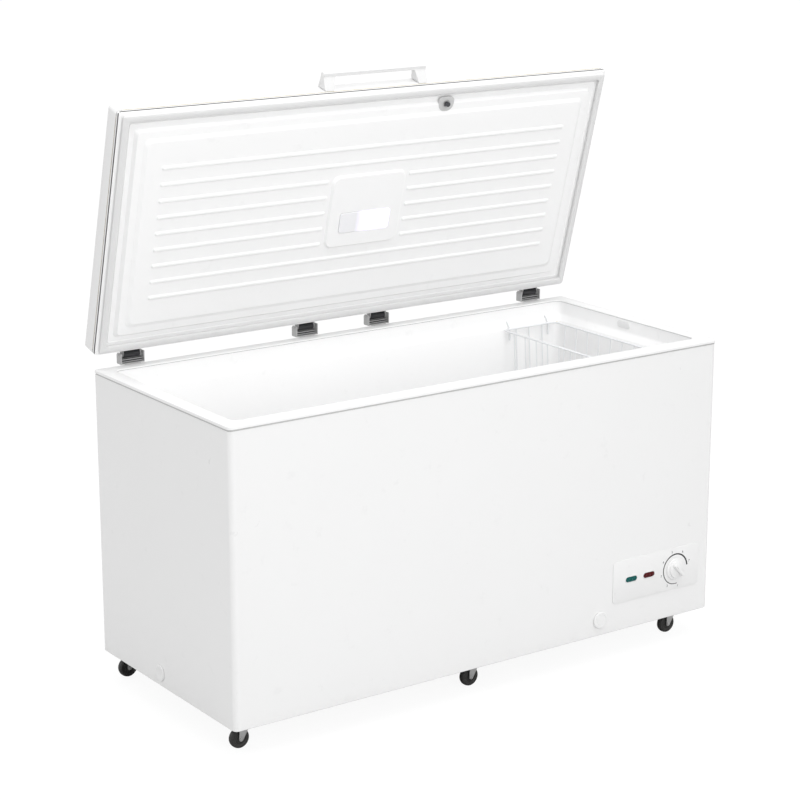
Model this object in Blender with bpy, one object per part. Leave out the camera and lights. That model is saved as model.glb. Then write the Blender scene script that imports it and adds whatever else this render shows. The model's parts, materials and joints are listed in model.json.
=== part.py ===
"""Chest freezer, built as the separate pieces it is assembled from.

Metres, +Z up, +X to the right of someone facing the freezer, -Y towards them.
The origin is on the floor, at the middle of the box that holds the freezer with
its lid open. Lid pieces are drawn with the lid shut and then turned open about
the hinge axis.
"""

from math import cos, pi, radians, sin

import bmesh
import bpy
from mathutils import Matrix, Vector

# ---- overall sizes
WIDTH = 1.420  # painted cabinet, side to side
DEPTH = 0.620  # painted cabinet, front to back
RIM_TOP = 0.782  # top of the rim above the floor
CASTOR_HEIGHT = 0.071  # floor to the cabinet's underside
LID_OPEN_DEG = 74.7

# ---- walls and fits
GAP = 0.0003  # between pieces that touch
RUNNING = 0.0003  # round a turning shaft
SHEET = 0.0008  # painted steel
LINER_SHEET = 0.0010
CORNER_RADIUS = 0.012  # the wrapper's two front corners

# ---- rim and cabin
RIM_OVERHANG = 0.002
RIM_LIP = 0.0075
RIM_PLATE = 0.003
RIM_TONGUE = 0.0018
RIM_TONGUE_DROP = 0.024
SHADOW_SLOT = 0.0035  # open line between the rim's lip and the wrapper
RIM_SIDE = 0.0345
RIM_FRONT = 0.041
RIM_BACK = 0.033
LIP_OVER_BAND = 0.001
LATCH_LIP = 0.006  # how far the front rim reaches over the cabin's band
BAND_HEIGHT = 0.037
SHOULDER_HEIGHT = 0.016
SHOULDER_STEP = 0.014
FLOOR_FOAM = 0.065
CABIN_RADIUS = 0.020

# ---- machine bay under the raised floor, on the right
BAY_WIDTH = 0.2845
BAY_HEIGHT = 0.254
BAY_WALL_FOAM = 0.050
BAY_ROOF_FOAM = 0.045

# ---- evaporator and condenser
TUBE_EVAPORATOR = 0.007
TUBE_CONDENSER = 0.005
EVAPORATOR_TURNS = 4
EVAPORATOR_PITCH = 0.065
EVAPORATOR_BELOW_SHOULDER = 0.045
GROOVE_START = 0.003  # the groove's cutter begins this far inside the liner's outer face
CONDENSER_RUNS = 6
CONDENSER_PITCH = 0.055

# ---- lid
GASKET_HEIGHT = 0.0105  # rim to lid with the lid shut
GASKET_INSET = 0.009
GASKET_WIDTH = 0.016
LID_THICKNESS = 0.052
LID_OVER_SIDE = 0.002
LID_OVER_FRONT = 0.002
LID_BACK_INSET = 0.002
LID_GROOVE = 0.0015
PANEL_EDGE = 0.0115
PANEL_SHEET = 0.0025
PANEL_STEPS = ((0.046, 0.000), (0.056, 0.008), (0.070, 0.008), (0.080, 0.0128))
LID_RADIUS = 0.014
RIB_COUNT = 9
RIB_PITCH = 0.0416
RIB_LENGTH = 1.182
RIB_WIDTH = 0.009
RIB_RISE = 0.003
LAMP_PAD = (0.218, 0.193, 0.006)
LAMP_LENS = (0.149, 0.054, 0.006)
LAMP_DROP = 0.030  # lens below the pad's middle, towards the hinges
LAMP_PROUD = 0.0015

# ---- handle and lock
HANDLE_LENGTH = 0.299
HANDLE_REACH = 0.040
HANDLE_END = 0.030
HANDLE_BAR = 0.010
HANDLE_LOW = 0.012
HANDLE_HIGH = 0.048
HANDLE_BAR_LOW = 0.029
HANDLE_BAR_HIGH = 0.042
LOCK_X = 0.2025
LOCK_INSET = 0.048
LOCK_BOSS_RADIUS = 0.021
BOSS_ROOT = 0.001
LOCK_SHAFT_RADIUS = 0.006
LOCK_ARM = (0.011, 0.006, 0.003)

# ---- hinges
HINGE_X = (-0.6065, -0.1095, 0.1095, 0.6065)
HINGE_BEHIND = 0.0118
HINGE_ABOVE = 0.0228
HINGE_WIDTH = 0.064
HINGE_SHEET = 0.0025
HINGE_PIN_RADIUS = 0.003
HINGE_CHEEK_TOP = 0.005
HINGE_CHEEK_BACK = 0.011
HINGE_LEG = 0.070
HINGE_LEG_WIDTH = 0.044
HINGE_LEAF_WIDTH = 0.049
HINGE_LEAF_LOW = 0.006
HINGE_LEAF_HIGH = 0.036
HINGE_COVER_RADIUS = 0.0088

# ---- castors
WHEEL_RADIUS = 0.0243
WHEEL_WIDTH = 0.018
CASTOR_TRAIL = 0.016
CASTOR_SIDE_INSET = 0.065
CASTOR_FRONT_INSET = 0.0665
CASTOR_BACK_INSET = 0.0240
FORK_SHEET = 0.0015
FORK_SIDE_ROOM = 0.0012
FORK_TIP_RADIUS = 0.006
FORK_CROWN = 0.003
FORK_CROWN_RADIUS = 0.017
FORK_TOP_ROOM = 0.0010
AXLE_RADIUS = 0.003
STEM_RADIUS = 0.005
STEM_LENGTH = 0.028
SOCKET_WALL = 0.004
SOCKET_LENGTH = 0.032

# ---- controls, drain, ports
CONTROL_PLATE = (0.285, 0.111, 0.0015)
CONTROL_FROM_SIDE = 0.1785
CONTROL_Z = 0.1995
CONTROL_CUT = (0.235, 0.050)
KNOB_FROM_SIDE = 0.115
KNOB_Z = 0.198
KNOB_RADIUS = 0.029
KNOB_SKIRT = 0.004
KNOB_GRIP_RADIUS = 0.0225
KNOB_REACH = 0.020
KNOB_BAR = 0.009
LAMP_FROM_SIDE = (0.2615, 0.2035)
LAMP_Z = 0.2005
LAMP_SIZE = (0.036, 0.013)
LAMP_DEPTH = 0.012
SHAFT_RADIUS = 0.003
DRAIN_FROM_STEP = 0.025
DRAIN_Z = 0.112
DRAIN_CAP_RADIUS = 0.0215
DRAIN_BORE_RADIUS = 0.009
DRAIN_BACK = 0.110
PORT_Y = 0.340  # behind the front face
PORT_Z = 0.103
PORT_RADIUS = 0.020
GLAND_FROM_SIDE = 0.263
GLAND_Z = 0.100
GRILLE_SIZE = (0.200, 0.190)
GRILLE_SLOTS = 7
COMPRESSOR_RADIUS = 0.075
COMPRESSOR_HEIGHT = 0.165
COMPRESSOR_FOOT = 0.015

# ---- basket
BASKET_WIDTH = 0.178
BASKET_HEIGHT = 0.240
BASKET_WALL = 0.003
BASKET_ROOM = 0.012
BASKET_END_ROOM = 0.006

# ---- derived places
HALF = WIDTH / 2
AXIS_TO_LID_TOP = GASKET_HEIGHT + LID_THICKNESS - HINGE_ABOVE
AXIS_TO_LID_BACK = HINGE_BEHIND + LID_BACK_INSET
OPEN = radians(LID_OPEN_DEG)
BACK_REACH = HINGE_BEHIND + AXIS_TO_LID_TOP * sin(OPEN) - AXIS_TO_LID_BACK * cos(OPEN)
FRONT_REACH = GAP + CONTROL_PLATE[2] + GAP + KNOB_REACH
FRONT = -(DEPTH + BACK_REACH - FRONT_REACH) / 2
BACK = FRONT + DEPTH
FLOOR = CASTOR_HEIGHT
SHELL_TOP = RIM_TOP - RIM_LIP - SHADOW_SLOT
PLATE_UNDER = RIM_TOP - RIM_PLATE
SHOULDER_TOP = RIM_TOP - BAND_HEIGHT
SHOULDER_LOW = SHOULDER_TOP - SHOULDER_HEIGHT
CABIN_FLOOR = FLOOR + SHEET + FLOOR_FOAM
BAY_LEFT = HALF - BAY_WIDTH
BAY_TOP = FLOOR + SHEET + BAY_HEIGHT
STEP_X = BAY_LEFT - BAY_WALL_FOAM
STEP_TOP = BAY_TOP + BAY_ROOF_FOAM
CONTROL_X = HALF - CONTROL_FROM_SIDE
KNOB_X = HALF - KNOB_FROM_SIDE
LAMP_X = tuple(HALF - by for by in LAMP_FROM_SIDE)
DRAIN_X = STEP_X - DRAIN_FROM_STEP
GLAND_X = HALF - GLAND_FROM_SIDE
COIL_OUT = LINER_SHEET + GAP + TUBE_EVAPORATOR / 2 + GAP / 2  # wall to the coil's axis
LID_UNDER = RIM_TOP + GASKET_HEIGHT
LID_TOP = LID_UNDER + LID_THICKNESS
AXIS_Y = BACK + HINGE_BEHIND
AXIS_Z = RIM_TOP + HINGE_ABOVE
LID_BOX = (-HALF - LID_OVER_SIDE, HALF + LID_OVER_SIDE, FRONT - LID_OVER_FRONT, BACK - LID_BACK_INSET)
CABINET_BOX = (-HALF, HALF, FRONT, BACK)
BAND_BOX = (
    -HALF + RIM_SIDE - LIP_OVER_BAND,
    HALF - RIM_SIDE + LIP_OVER_BAND,
    FRONT + RIM_FRONT - LATCH_LIP,
    BACK - RIM_BACK + LIP_OVER_BAND,
)


# ---- building blocks


def clear_scene():
    for item in list(bpy.data.objects):
        bpy.data.objects.remove(item, do_unlink=True)


def finish(name, colour, roughness, metallic=0.0):
    made = bpy.data.materials.new(name)
    made.use_nodes = True
    shader = made.node_tree.nodes["Principled BSDF"]
    shader.inputs["Base Color"].default_value = (*colour, 1.0)
    shader.inputs["Roughness"].default_value = roughness
    shader.inputs["Metallic"].default_value = metallic
    return made


def piece(name, mesh, look=None, place=(0, 0, 0)):
    made = bpy.data.objects.new(name, mesh)
    bpy.context.scene.collection.objects.link(made)
    made.location = place
    if look and not mesh.materials:
        mesh.materials.append(look)
    return made


def mesh_from(build, name="shape"):
    """A mesh from a function that fills a bmesh, with its faces turned outwards."""
    work = bmesh.new()
    build(work)
    bmesh.ops.recalc_face_normals(work, faces=work.faces)
    mesh = bpy.data.meshes.new(name)
    work.to_mesh(mesh)
    work.free()
    return mesh


def inset(box, by):
    """The box (x0, x1, y0, y1) moved in by one distance, or by (sides, front, back)."""
    sides, front, back = by if isinstance(by, tuple) else (by, by, by)
    return (box[0] + sides, box[1] - sides, box[2] + front, box[3] - back)


def round_loop(box, z, radius=0.0, steps=3, back_radius=None):
    """Points round a rectangle at height z, with rounded corners, seen from above anticlockwise."""
    x0, x1, y0, y1 = box
    rear = radius if back_radius is None else back_radius
    corners = (
        (x0, y0, radius, pi), (x1, y0, radius, 1.5 * pi), (x1, y1, rear, 0.0), (x0, y1, rear, 0.5 * pi)
    )
    points = []
    for x, y, r, start in corners:
        r = max(r, 0.0001)
        middle_x = x + r if x == x0 else x - r
        middle_y = y + r if y == y0 else y - r
        for step in range(steps + 1):
            angle = start + 0.5 * pi * step / steps
            points.append(Vector((middle_x + r * cos(angle), middle_y + r * sin(angle), z)))
    return points


def loft(loops, ring=False):
    """A mesh through loops of equally many points: capped at both ends, or joined into a ring."""

    def build(work):
        rows = [[work.verts.new(point) for point in loop] for loop in loops]
        pairs = list(zip(rows, rows[1:]))
        if ring:
            pairs.append((rows[-1], rows[0]))
        for low, high in pairs:
            for i in range(len(low)):
                j = (i + 1) % len(low)
                work.faces.new((low[i], low[j], high[j], high[i]))
        if not ring:
            work.faces.new(rows[0])
            work.faces.new(rows[-1])

    return mesh_from(build)


def box_mesh(x0, x1, y0, y1, z0, z1):
    corners = [Vector((x, y, z0)) for x, y in ((x0, y0), (x1, y0), (x1, y1), (x0, y1))]
    return loft([corners, [Vector((c.x, c.y, z1)) for c in corners]])


def prism(outline, low, high, axis="X"):
    """A flat outline of (u, v) points extruded along an axis: u, v are Y, Z on X and X, Z on Y."""

    def at(u, v, along):
        return Vector((along, u, v)) if axis == "X" else Vector((u, along, v))

    return loft([[at(u, v, along) for u, v in outline] for along in (low, high)])


def turned(profile, steps, axis="Z", ring=True, turn=0.0):
    """A profile of (radius, along) points turned about an axis through the origin."""

    def at(radius, along, angle):
        a = radius * cos(angle)
        b = radius * sin(angle)
        return {"X": Vector((along, a, b)), "Y": Vector((a, along, b)), "Z": Vector((a, b, along))}[axis]

    angles = [turn + 2 * pi * i / steps for i in range(steps)]
    return loft([[at(radius, along, angle) for angle in angles] for radius, along in profile], ring)


def rod(radius, low, high, axis, steps=16, turn=0.0):
    return turned([(radius, low), (radius, high)], steps, axis, False, turn)


def merged(meshes):
    """Several separate closed shapes in one mesh, used as one side of a Boolean."""
    work = bmesh.new()
    for mesh in meshes:
        work.from_mesh(mesh)
    mesh = bpy.data.meshes.new("shape")
    work.to_mesh(mesh)
    work.free()
    return mesh


def moved(mesh, x=0.0, y=0.0, z=0.0):
    mesh.transform(Matrix.Translation((x, y, z)))
    return mesh


def carve(mesh, tool, operation="DIFFERENCE"):
    """The mesh after one exact Boolean with another mesh."""
    body = piece("carve_body", mesh)
    other = piece("carve_tool", tool)
    cut = body.modifiers.new("carve", "BOOLEAN")
    cut.operation = operation
    cut.solver = "EXACT"
    cut.object = other
    bpy.context.view_layer.update()
    result = bpy.data.meshes.new_from_object(body.evaluated_get(bpy.context.evaluated_depsgraph_get()))
    bpy.data.objects.remove(other, do_unlink=True)
    bpy.data.objects.remove(body, do_unlink=True)
    return result


def empty(name, place):
    made = bpy.data.objects.new(name, None)
    bpy.context.scene.collection.objects.link(made)
    made.location = place
    return made


def hang(child, parent):
    """Parents a piece without moving it."""
    bpy.context.view_layer.update()
    child.parent = parent
    child.matrix_parent_inverse = parent.matrix_world.inverted()


def smooth(made, degrees=40):
    made.data.shade_smooth()
    made.data.set_sharp_from_angle(angle=radians(degrees))
    return made


# ---- cabinet


def outer_shell(look):
    """One sheet wrapped round the left side, the front and the right side."""
    reach = RIM_TOP

    def outline(back_in, radius):
        points = [(-HALF + back_in, BACK)]
        for middle, start in ((-HALF + CORNER_RADIUS, pi), (HALF - CORNER_RADIUS, 1.5 * pi)):
            for step in range(7):
                angle = start + 0.5 * pi * step / 6
                points.append((middle + radius * cos(angle), FRONT + CORNER_RADIUS + radius * sin(angle)))
        points.append((HALF - back_in, BACK))
        return points

    outer = outline(0.0, CORNER_RADIUS)
    inner = outline(SHEET, CORNER_RADIUS - SHEET)
    flat = outer + inner[::-1]
    mesh = loft([[Vector((x, y, z)) for x, y in flat] for z in (FLOOR, SHELL_TOP)])
    wide, high = CONTROL_CUT
    window = box_mesh(
        CONTROL_X - wide / 2, CONTROL_X + wide / 2, FRONT - reach,
        FRONT + 0.01, LAMP_Z - high / 2, LAMP_Z + high / 2
    )
    drain = moved(rod(DRAIN_BORE_RADIUS + 0.001, -0.01, 0.01, "Y"), DRAIN_X, FRONT, DRAIN_Z)
    port = moved(rod(0.0145, -0.01, 0.01, "X"), -HALF, FRONT + PORT_Y, PORT_Z)
    mesh = carve(mesh, merged([window, drain, port]))
    return smooth(piece("outer_shell", mesh, look))


def rear_panel(look):
    side = SHEET + GAP
    mesh = box_mesh(-HALF + side, HALF - side, BACK - SHEET, BACK, FLOOR, SHELL_TOP)
    left = HALF - 0.018 - GRILLE_SIZE[0]
    low = FLOOR + 0.018
    window = box_mesh(
        left + 0.010, left + GRILLE_SIZE[0] - 0.010, BACK - 0.01,
        BACK + 0.01, low + 0.010, low + GRILLE_SIZE[1] - 0.010
    )
    gland = moved(rod(0.0078, -0.01, 0.01, "Y"), GLAND_X, BACK, GLAND_Z)
    return piece("rear_panel", carve(mesh, merged([window, gland])), look)


def castor_places():
    """Name and swivel axis of each castor."""
    across = {
        "left": -HALF + CASTOR_SIDE_INSET, "middle": CASTOR_TRAIL / 2, "right": HALF - CASTOR_SIDE_INSET
    }
    along = {"front": FRONT + CASTOR_FRONT_INSET, "rear": BACK - CASTOR_BACK_INSET}
    return [(f"{row}_{side}", x, y) for row, y in along.items() for side, x in across.items()]


def base_pan(look):
    """The bottom sheet, with a socket for each castor's stem."""
    side = SHEET + GAP
    floor_box = inset(CABINET_BOX, side)
    radius = CORNER_RADIUS - side
    mesh = loft([round_loop(floor_box, z, radius, 3, 0.0) for z in (FLOOR, FLOOR + SHEET)])
    outer = STEM_RADIUS + RUNNING + SOCKET_WALL
    sockets = [
        moved(rod(outer, SHEET / 2, SOCKET_LENGTH, "Z", 12), x, y, FLOOR) for _, x, y in castor_places()
    ]
    bores = [
        moved(rod(STEM_RADIUS + RUNNING, -0.01, STEM_LENGTH + GAP, "Z", 12), x, y, FLOOR)
        for _, x, y in castor_places()
    ]
    mesh = carve(mesh, merged(sockets), "UNION")
    return piece("base_pan", carve(mesh, merged(bores)), look)


def cabin_volume(grow, top):
    """The cabin's space down to its stepped floor, grown outwards by a distance."""
    band = inset(BAND_BOX, -grow)
    tub = inset(BAND_BOX, SHOULDER_STEP - grow)
    radius = CABIN_RADIUS + grow
    levels = (
        (band, top),
        (band, SHOULDER_TOP - grow),
        (tub, SHOULDER_LOW - grow),
        (tub, CABIN_FLOOR - grow),
    )
    mesh = loft([round_loop(shape, z, radius) for shape, z in levels])
    step = box_mesh(STEP_X + grow, HALF, FRONT, BACK, 0.0, STEP_TOP - grow)
    return carve(mesh, step)


def inner_liner(look):
    mesh = cabin_volume(LINER_SHEET, PLATE_UNDER - GAP)
    mesh = carve(mesh, cabin_volume(0.0, RIM_TOP + 0.05))
    tap = moved(rod(DRAIN_BORE_RADIUS, -0.02, 0.02, "Z"), DRAIN_X, FRONT + DRAIN_BACK - 0.002, CABIN_FLOOR)
    return smooth(piece("inner_liner", carve(mesh, tap), look), 30)


def cabinet_foam(look):
    """Foam between the wrapper and the liner, cut away for the machine bay, sockets and drain."""
    side = SHEET + GAP
    tongue = side + RIM_TONGUE + GAP + 0.0004
    tongue_low = RIM_TOP - RIM_TONGUE_DROP - GAP
    radius = CORNER_RADIUS - side
    back = side + TUBE_CONDENSER + GAP
    levels = (
        ((side, side, back), FLOOR + SHEET + GAP),
        ((side, side, back), tongue_low),
        ((tongue, tongue, back + GAP), tongue_low),
        ((tongue, tongue, back + GAP), PLATE_UNDER - GAP),
    )
    mesh = loft([round_loop(inset(CABINET_BOX, by), z, radius, 3, 0.0) for by, z in levels])
    mesh = carve(mesh, cabin_volume(LINER_SHEET + GAP, RIM_TOP + 0.05))
    mesh = carve(mesh, box_mesh(BAY_LEFT, HALF + 0.1, FRONT - 0.1, BACK + 0.1, 0.0, BAY_TOP))
    outer = STEM_RADIUS + RUNNING + SOCKET_WALL + GAP
    pockets = [
        moved(rod(outer, -0.05, SOCKET_LENGTH + GAP, "Z", 12), x, y, FLOOR) for _, x, y in castor_places()
    ]
    mesh = carve(mesh, merged(pockets))
    pipe = moved(
        rod(DRAIN_BORE_RADIUS, -0.05, DRAIN_BACK + DRAIN_BORE_RADIUS, "Y"), DRAIN_X, FRONT, DRAIN_Z
    )
    drop = moved(
        rod(DRAIN_BORE_RADIUS - 0.001, 0.0, 0.05, "Z"), DRAIN_X, FRONT + DRAIN_BACK - 0.002, DRAIN_Z
    )
    mesh = carve(carve(mesh, pipe), drop)
    port = moved(rod(0.0145, -0.01, 0.016, "X"), -HALF, FRONT + PORT_Y, PORT_Z)
    mesh = carve(mesh, port)
    return piece("cabinet_foam", carve(mesh, evaporator_groove()), look)


def coil_turns(out, beyond=0.0):
    """The coil's way at a distance out from the cabin's wall, sinking evenly, each end drawn on by beyond."""
    low, high = evaporator_span()
    wall = inset(BAND_BOX, SHOULDER_STEP)

    def way(by):
        turn = round_loop(inset(wall, -by), 0.0, CABIN_RADIUS + by, 3)
        return turn * EVAPORATOR_TURNS

    middle = way(COIL_OUT)
    run = [0.0]
    for start, end in zip(middle, middle[1:]):
        run.append(run[-1] + (end - start).length)
    points = [Vector((at.x, at.y, high - (high - low) * far / run[-1])) for at, far in zip(way(out), run)]
    points[0] += (points[0] - points[1]).normalized() * beyond
    points[-1] += (points[-1] - points[-2]).normalized() * beyond
    return points


def evaporator_groove():
    """A square groove for the coil, so that foam backs the liner between its turns."""
    room = TUBE_EVAPORATOR / 2 + 2 * GAP
    near = coil_turns(LINER_SHEET - GROOVE_START, 4 * GAP)
    far = coil_turns(LINER_SHEET + TUBE_EVAPORATOR + 3 * GAP, 4 * GAP)
    loops = []
    for (x0, y0, z), (x1, y1, _) in zip(near, far):
        loops.append([(x0, y0, z - room), (x1, y1, z - room), (x1, y1, z + room), (x0, y0, z + room)])
    return loft([[Vector(corner) for corner in loop] for loop in loops])


def evaporator_span():
    high = SHOULDER_LOW - EVAPORATOR_BELOW_SHOULDER
    return high - EVAPORATOR_TURNS * EVAPORATOR_PITCH, high


def tube(name, points, radius, look, sides=1):
    """A bent tube along straight pieces between points, with closed ends."""
    path = bpy.data.curves.new(name, "CURVE")
    path.dimensions = "3D"
    path.bevel_depth = radius
    path.bevel_resolution = sides
    path.use_fill_caps = True
    line = path.splines.new("POLY")
    line.points.add(len(points) - 1)
    for node, point in zip(line.points, points):
        node.co = (*point, 1.0)
    path.materials.append(look)
    made = bpy.data.objects.new(name, path)
    bpy.context.scene.collection.objects.link(made)
    return made


def evaporator_coil(look):
    """Tube wound round the liner in level turns that sink by one pitch each."""
    points = coil_turns(COIL_OUT)
    return tube("evaporator_coil", points, TUBE_EVAPORATOR / 2, look)


def condenser_coil(look):
    """Tube laid to and fro behind the foam, on the rear panel, with both ends in the machine bay."""
    y = BACK - SHEET - GAP - TUBE_CONDENSER / 2 - GAP
    bend = CONDENSER_PITCH / 2
    left = -HALF + 0.10 + bend
    right = HALF - 0.06 - bend
    top = BAY_TOP + 0.05 + (CONDENSER_RUNS - 1) * CONDENSER_PITCH
    points = [(right + bend, y, BAY_TOP - 0.06), (right + bend, y, top - bend)]
    for run in range(CONDENSER_RUNS):
        z = top - run * CONDENSER_PITCH
        leftward = run % 2 == 0
        if run == 0:
            arc = [(right + bend * cos(a), y, z - bend + bend * sin(a)) for a in (0.25 * pi, 0.5 * pi)]
            points += arc[:1] + [(right, y, z)]
        end = left if leftward else right - 0.03
        points.append((end, y, z))
        if run < CONDENSER_RUNS - 1:
            side = -1 if leftward else 1
            for a in (0.25 * pi, 0.5 * pi, 0.75 * pi):
                points.append((end + side * bend * sin(a), y, z - bend + bend * cos(a)))
            points.append((end, y, z - CONDENSER_PITCH))
    last = points[-1]
    points.append((last[0] + bend * 0.7, y, last[2] - bend * 0.3))
    points.append((last[0] + bend, y, last[2] - bend))
    points.append((last[0] + bend, y, BAY_TOP - 0.06))
    return tube("condenser_coil", points, TUBE_CONDENSER / 2, look)


def rim_frame(look):
    """The moulded frame round the mouth: plate, outer lip and a tongue inside the wrapper."""
    tongue = SHEET + GAP + 0.0001
    inner = (RIM_SIDE, RIM_FRONT, RIM_BACK)
    section = (
        ((-RIM_OVERHANG, -RIM_OVERHANG, 0.0), RIM_TOP),
        ((-RIM_OVERHANG, -RIM_OVERHANG, 0.0), RIM_TOP - RIM_LIP),
        ((tongue, tongue, tongue), RIM_TOP - RIM_LIP),
        ((tongue, tongue, tongue), RIM_TOP - RIM_TONGUE_DROP),
        ((tongue + RIM_TONGUE,) * 3, RIM_TOP - RIM_TONGUE_DROP),
        ((tongue + RIM_TONGUE,) * 3, PLATE_UNDER),
        (inner, PLATE_UNDER),
        (inner, RIM_TOP),
    )
    radii = (CORNER_RADIUS, CORNER_RADIUS, *[CORNER_RADIUS - tongue] * 4, CABIN_RADIUS, CABIN_RADIUS)
    backs = (0.004, 0.004, *[0.002] * 4, CABIN_RADIUS, CABIN_RADIUS)
    loops = [
        round_loop(inset(CABINET_BOX, by), z, radius, 3, back)
        for (by, z), radius, back in zip(section, radii, backs)
    ]
    return smooth(piece("rim_frame", loft(loops, ring=True), look), 30)


def compressor(look):
    """A welded dome on a foot plate, with the starter box on its side."""
    r = COMPRESSOR_RADIUS
    h = COMPRESSOR_HEIGHT
    profile = [
        (0.45 * r, 0.0), (0.90 * r, 0.12 * h), (r, 0.30 * h),
        (r, 0.62 * h), (0.84 * r, 0.86 * h), (0.40 * r, h)
    ]
    mesh = moved(turned(profile, 20, "Z", False), z=COMPRESSOR_FOOT)
    foot = box_mesh(-1.30 * r, 1.30 * r, -0.85 * r, 0.85 * r, 0.0, 0.010)
    neck = rod(0.40 * r, 0.005, COMPRESSOR_FOOT + 0.02, "Z", 12)
    starter = box_mesh(-0.030, 0.030, 0.80 * r, 1.32 * r, 0.055, 0.115)
    mesh = carve(carve(carve(mesh, foot, "UNION"), neck, "UNION"), starter, "UNION")
    x = (BAY_LEFT + HALF) / 2 + 0.006
    place = (x, (FRONT + BACK) / 2 + 0.09, FLOOR + SHEET + GAP)
    return smooth(piece("compressor", mesh, look, place))


def bay_grille(look):
    """Louvred cover over the machine bay, screwed to the rear panel."""
    left = HALF - 0.018 - GRILLE_SIZE[0]
    low = FLOOR + 0.018
    mesh = box_mesh(left, left + GRILLE_SIZE[0], BACK + GAP, BACK + GAP + 0.0015, low, low + GRILLE_SIZE[1])
    pitch = GRILLE_SIZE[1] / (GRILLE_SLOTS + 1)
    slots = []
    for i in range(GRILLE_SLOTS):
        z = low + pitch * (i + 1)
        slots.append(
            box_mesh(
                left + 0.025, left + GRILLE_SIZE[0] - 0.025, BACK - 0.01, BACK + 0.01, z - 0.004, z + 0.004
            )
        )
    return piece("bay_grille", carve(mesh, merged(slots)), look)


def control_panel(look):
    wide, high, thick = CONTROL_PLATE
    shape = (CONTROL_X - wide / 2, CONTROL_X + wide / 2, CONTROL_Z - high / 2, CONTROL_Z + high / 2)
    flat = round_loop(shape, 0.0, 0.010, 3)
    mesh = prism([(p.x, p.y) for p in flat], FRONT - GAP - thick, FRONT - GAP, "Y")
    holes = [moved(lamp_mesh(GAP, -0.02, 0.02), x, FRONT, LAMP_Z) for x in LAMP_X]
    holes.append(moved(rod(SHAFT_RADIUS + 0.001, -0.02, 0.02, "Y", 12), KNOB_X, FRONT, KNOB_Z))
    return piece("control_panel", carve(mesh, merged(holes)), look)


def lamp_mesh(grow, low, high):
    """A pill-shaped lamp lens, along Y."""
    wide, tall = LAMP_SIZE
    shape = (-wide / 2 - grow, wide / 2 + grow, -tall / 2 - grow, tall / 2 + grow)
    flat = round_loop(shape, 0.0, tall / 2 + grow - 0.0002, 3)
    return prism([(p.x, p.y) for p in flat], low, high, "Y")


def panel_lamp(name, x, look):
    face = -GAP - CONTROL_PLATE[2] - 0.001
    mesh = lamp_mesh(0.0, face, face + LAMP_DEPTH)
    return piece(name, mesh, look, (x, FRONT, LAMP_Z))


def thermostat(look):
    """The switch behind the front sheet, with the shaft that carries the knob."""
    front = SHEET + GAP
    mesh = box_mesh(-0.020, 0.020, front, front + 0.032, -0.028, 0.028)
    shaft = rod(SHAFT_RADIUS, -GAP - CONTROL_PLATE[2] - GAP - 0.010, front + 0.005, "Y", 12)
    return piece("thermostat", carve(mesh, shaft, "UNION"), look, (KNOB_X, FRONT, KNOB_Z))


def thermostat_knob(look):
    """A round knob with a grip bar, turning on the thermostat's shaft."""
    r = KNOB_RADIUS
    grip = KNOB_GRIP_RADIUS
    base = -KNOB_REACH
    profile = [(r, 0.0), (r, -KNOB_SKIRT * 0.6), (r - 0.0015, -KNOB_SKIRT), (grip + 0.001, -KNOB_SKIRT)]
    profile += [(grip, 0.5 * base), (grip - 0.001, 0.5 * base - 0.001)]
    mesh = turned(profile, 24, "Y", False)
    bar = box_mesh(-KNOB_BAR / 2, KNOB_BAR / 2, base, -KNOB_SKIRT, -grip + 0.0015, grip - 0.0015)
    bore = rod(SHAFT_RADIUS + RUNNING, -0.0110, 0.01, "Y", 12)
    mesh = carve(carve(mesh, bar, "UNION"), bore)
    place = (KNOB_X, FRONT - GAP - CONTROL_PLATE[2] - GAP, KNOB_Z)
    return smooth(piece("thermostat_knob", mesh, look, place))


def drain_cap(look):
    """A push-in cap on the drain's mouth, which pulls out to the front."""
    r = DRAIN_CAP_RADIUS
    neck = DRAIN_BORE_RADIUS - GAP
    profile = [(neck, 0.018), (neck, -GAP), (r, -GAP), (r, -0.003), (r - 0.0025, -0.005)]
    return smooth(piece("drain_cap", turned(profile, 20, "Y", False), look, (DRAIN_X, FRONT, DRAIN_Z)))


def side_port_cap(look):
    r = PORT_RADIUS
    profile = [(r - 0.002, -0.0030), (r, -0.0015), (r, -GAP), (0.0142, -GAP), (0.0142, 0.012)]
    made = piece("side_port_cap", turned(profile, 20, "X", False), look, (-HALF, FRONT + PORT_Y, PORT_Z))
    return smooth(made)


def cable_gland(look):
    profile = [
        (0.0040, -0.010), (0.0075, -0.010), (0.0075, GAP), (0.0110, GAP), (0.0105, 0.006), (0.0040, 0.009)
    ]
    return smooth(piece("cable_gland", turned(profile, 16, "Y"), look, (GLAND_X, BACK, GLAND_Z)))


# ---- hinges


def hinge_base_mesh():
    """A channel bracket on the rear panel whose two cheeks carry the pin."""
    half = HINGE_WIDTH / 2
    t = HINGE_SHEET
    front = -HINGE_BEHIND + GAP
    low = -HINGE_ABOVE + GAP
    web = box_mesh(-half, half, front, HINGE_CHEEK_BACK, low, low + t)
    outline = [
        (front, low), (HINGE_CHEEK_BACK, low), (HINGE_CHEEK_BACK, 0.0),
        (0.006, HINGE_CHEEK_TOP), (front, HINGE_CHEEK_TOP)
    ]
    cheeks = [prism(outline, low_x, low_x + t) for low_x in (-half, half - t)]
    leg_half = HINGE_LEG_WIDTH / 2
    leg = box_mesh(-leg_half, leg_half, front, front + t, low - HINGE_LEG, low + t / 2)
    mesh = carve(web, merged(cheeks), "UNION")
    mesh = carve(mesh, leg, "UNION")
    return carve(mesh, rod(HINGE_PIN_RADIUS + RUNNING, -half - 0.01, half + 0.01, "X", 12))


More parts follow.
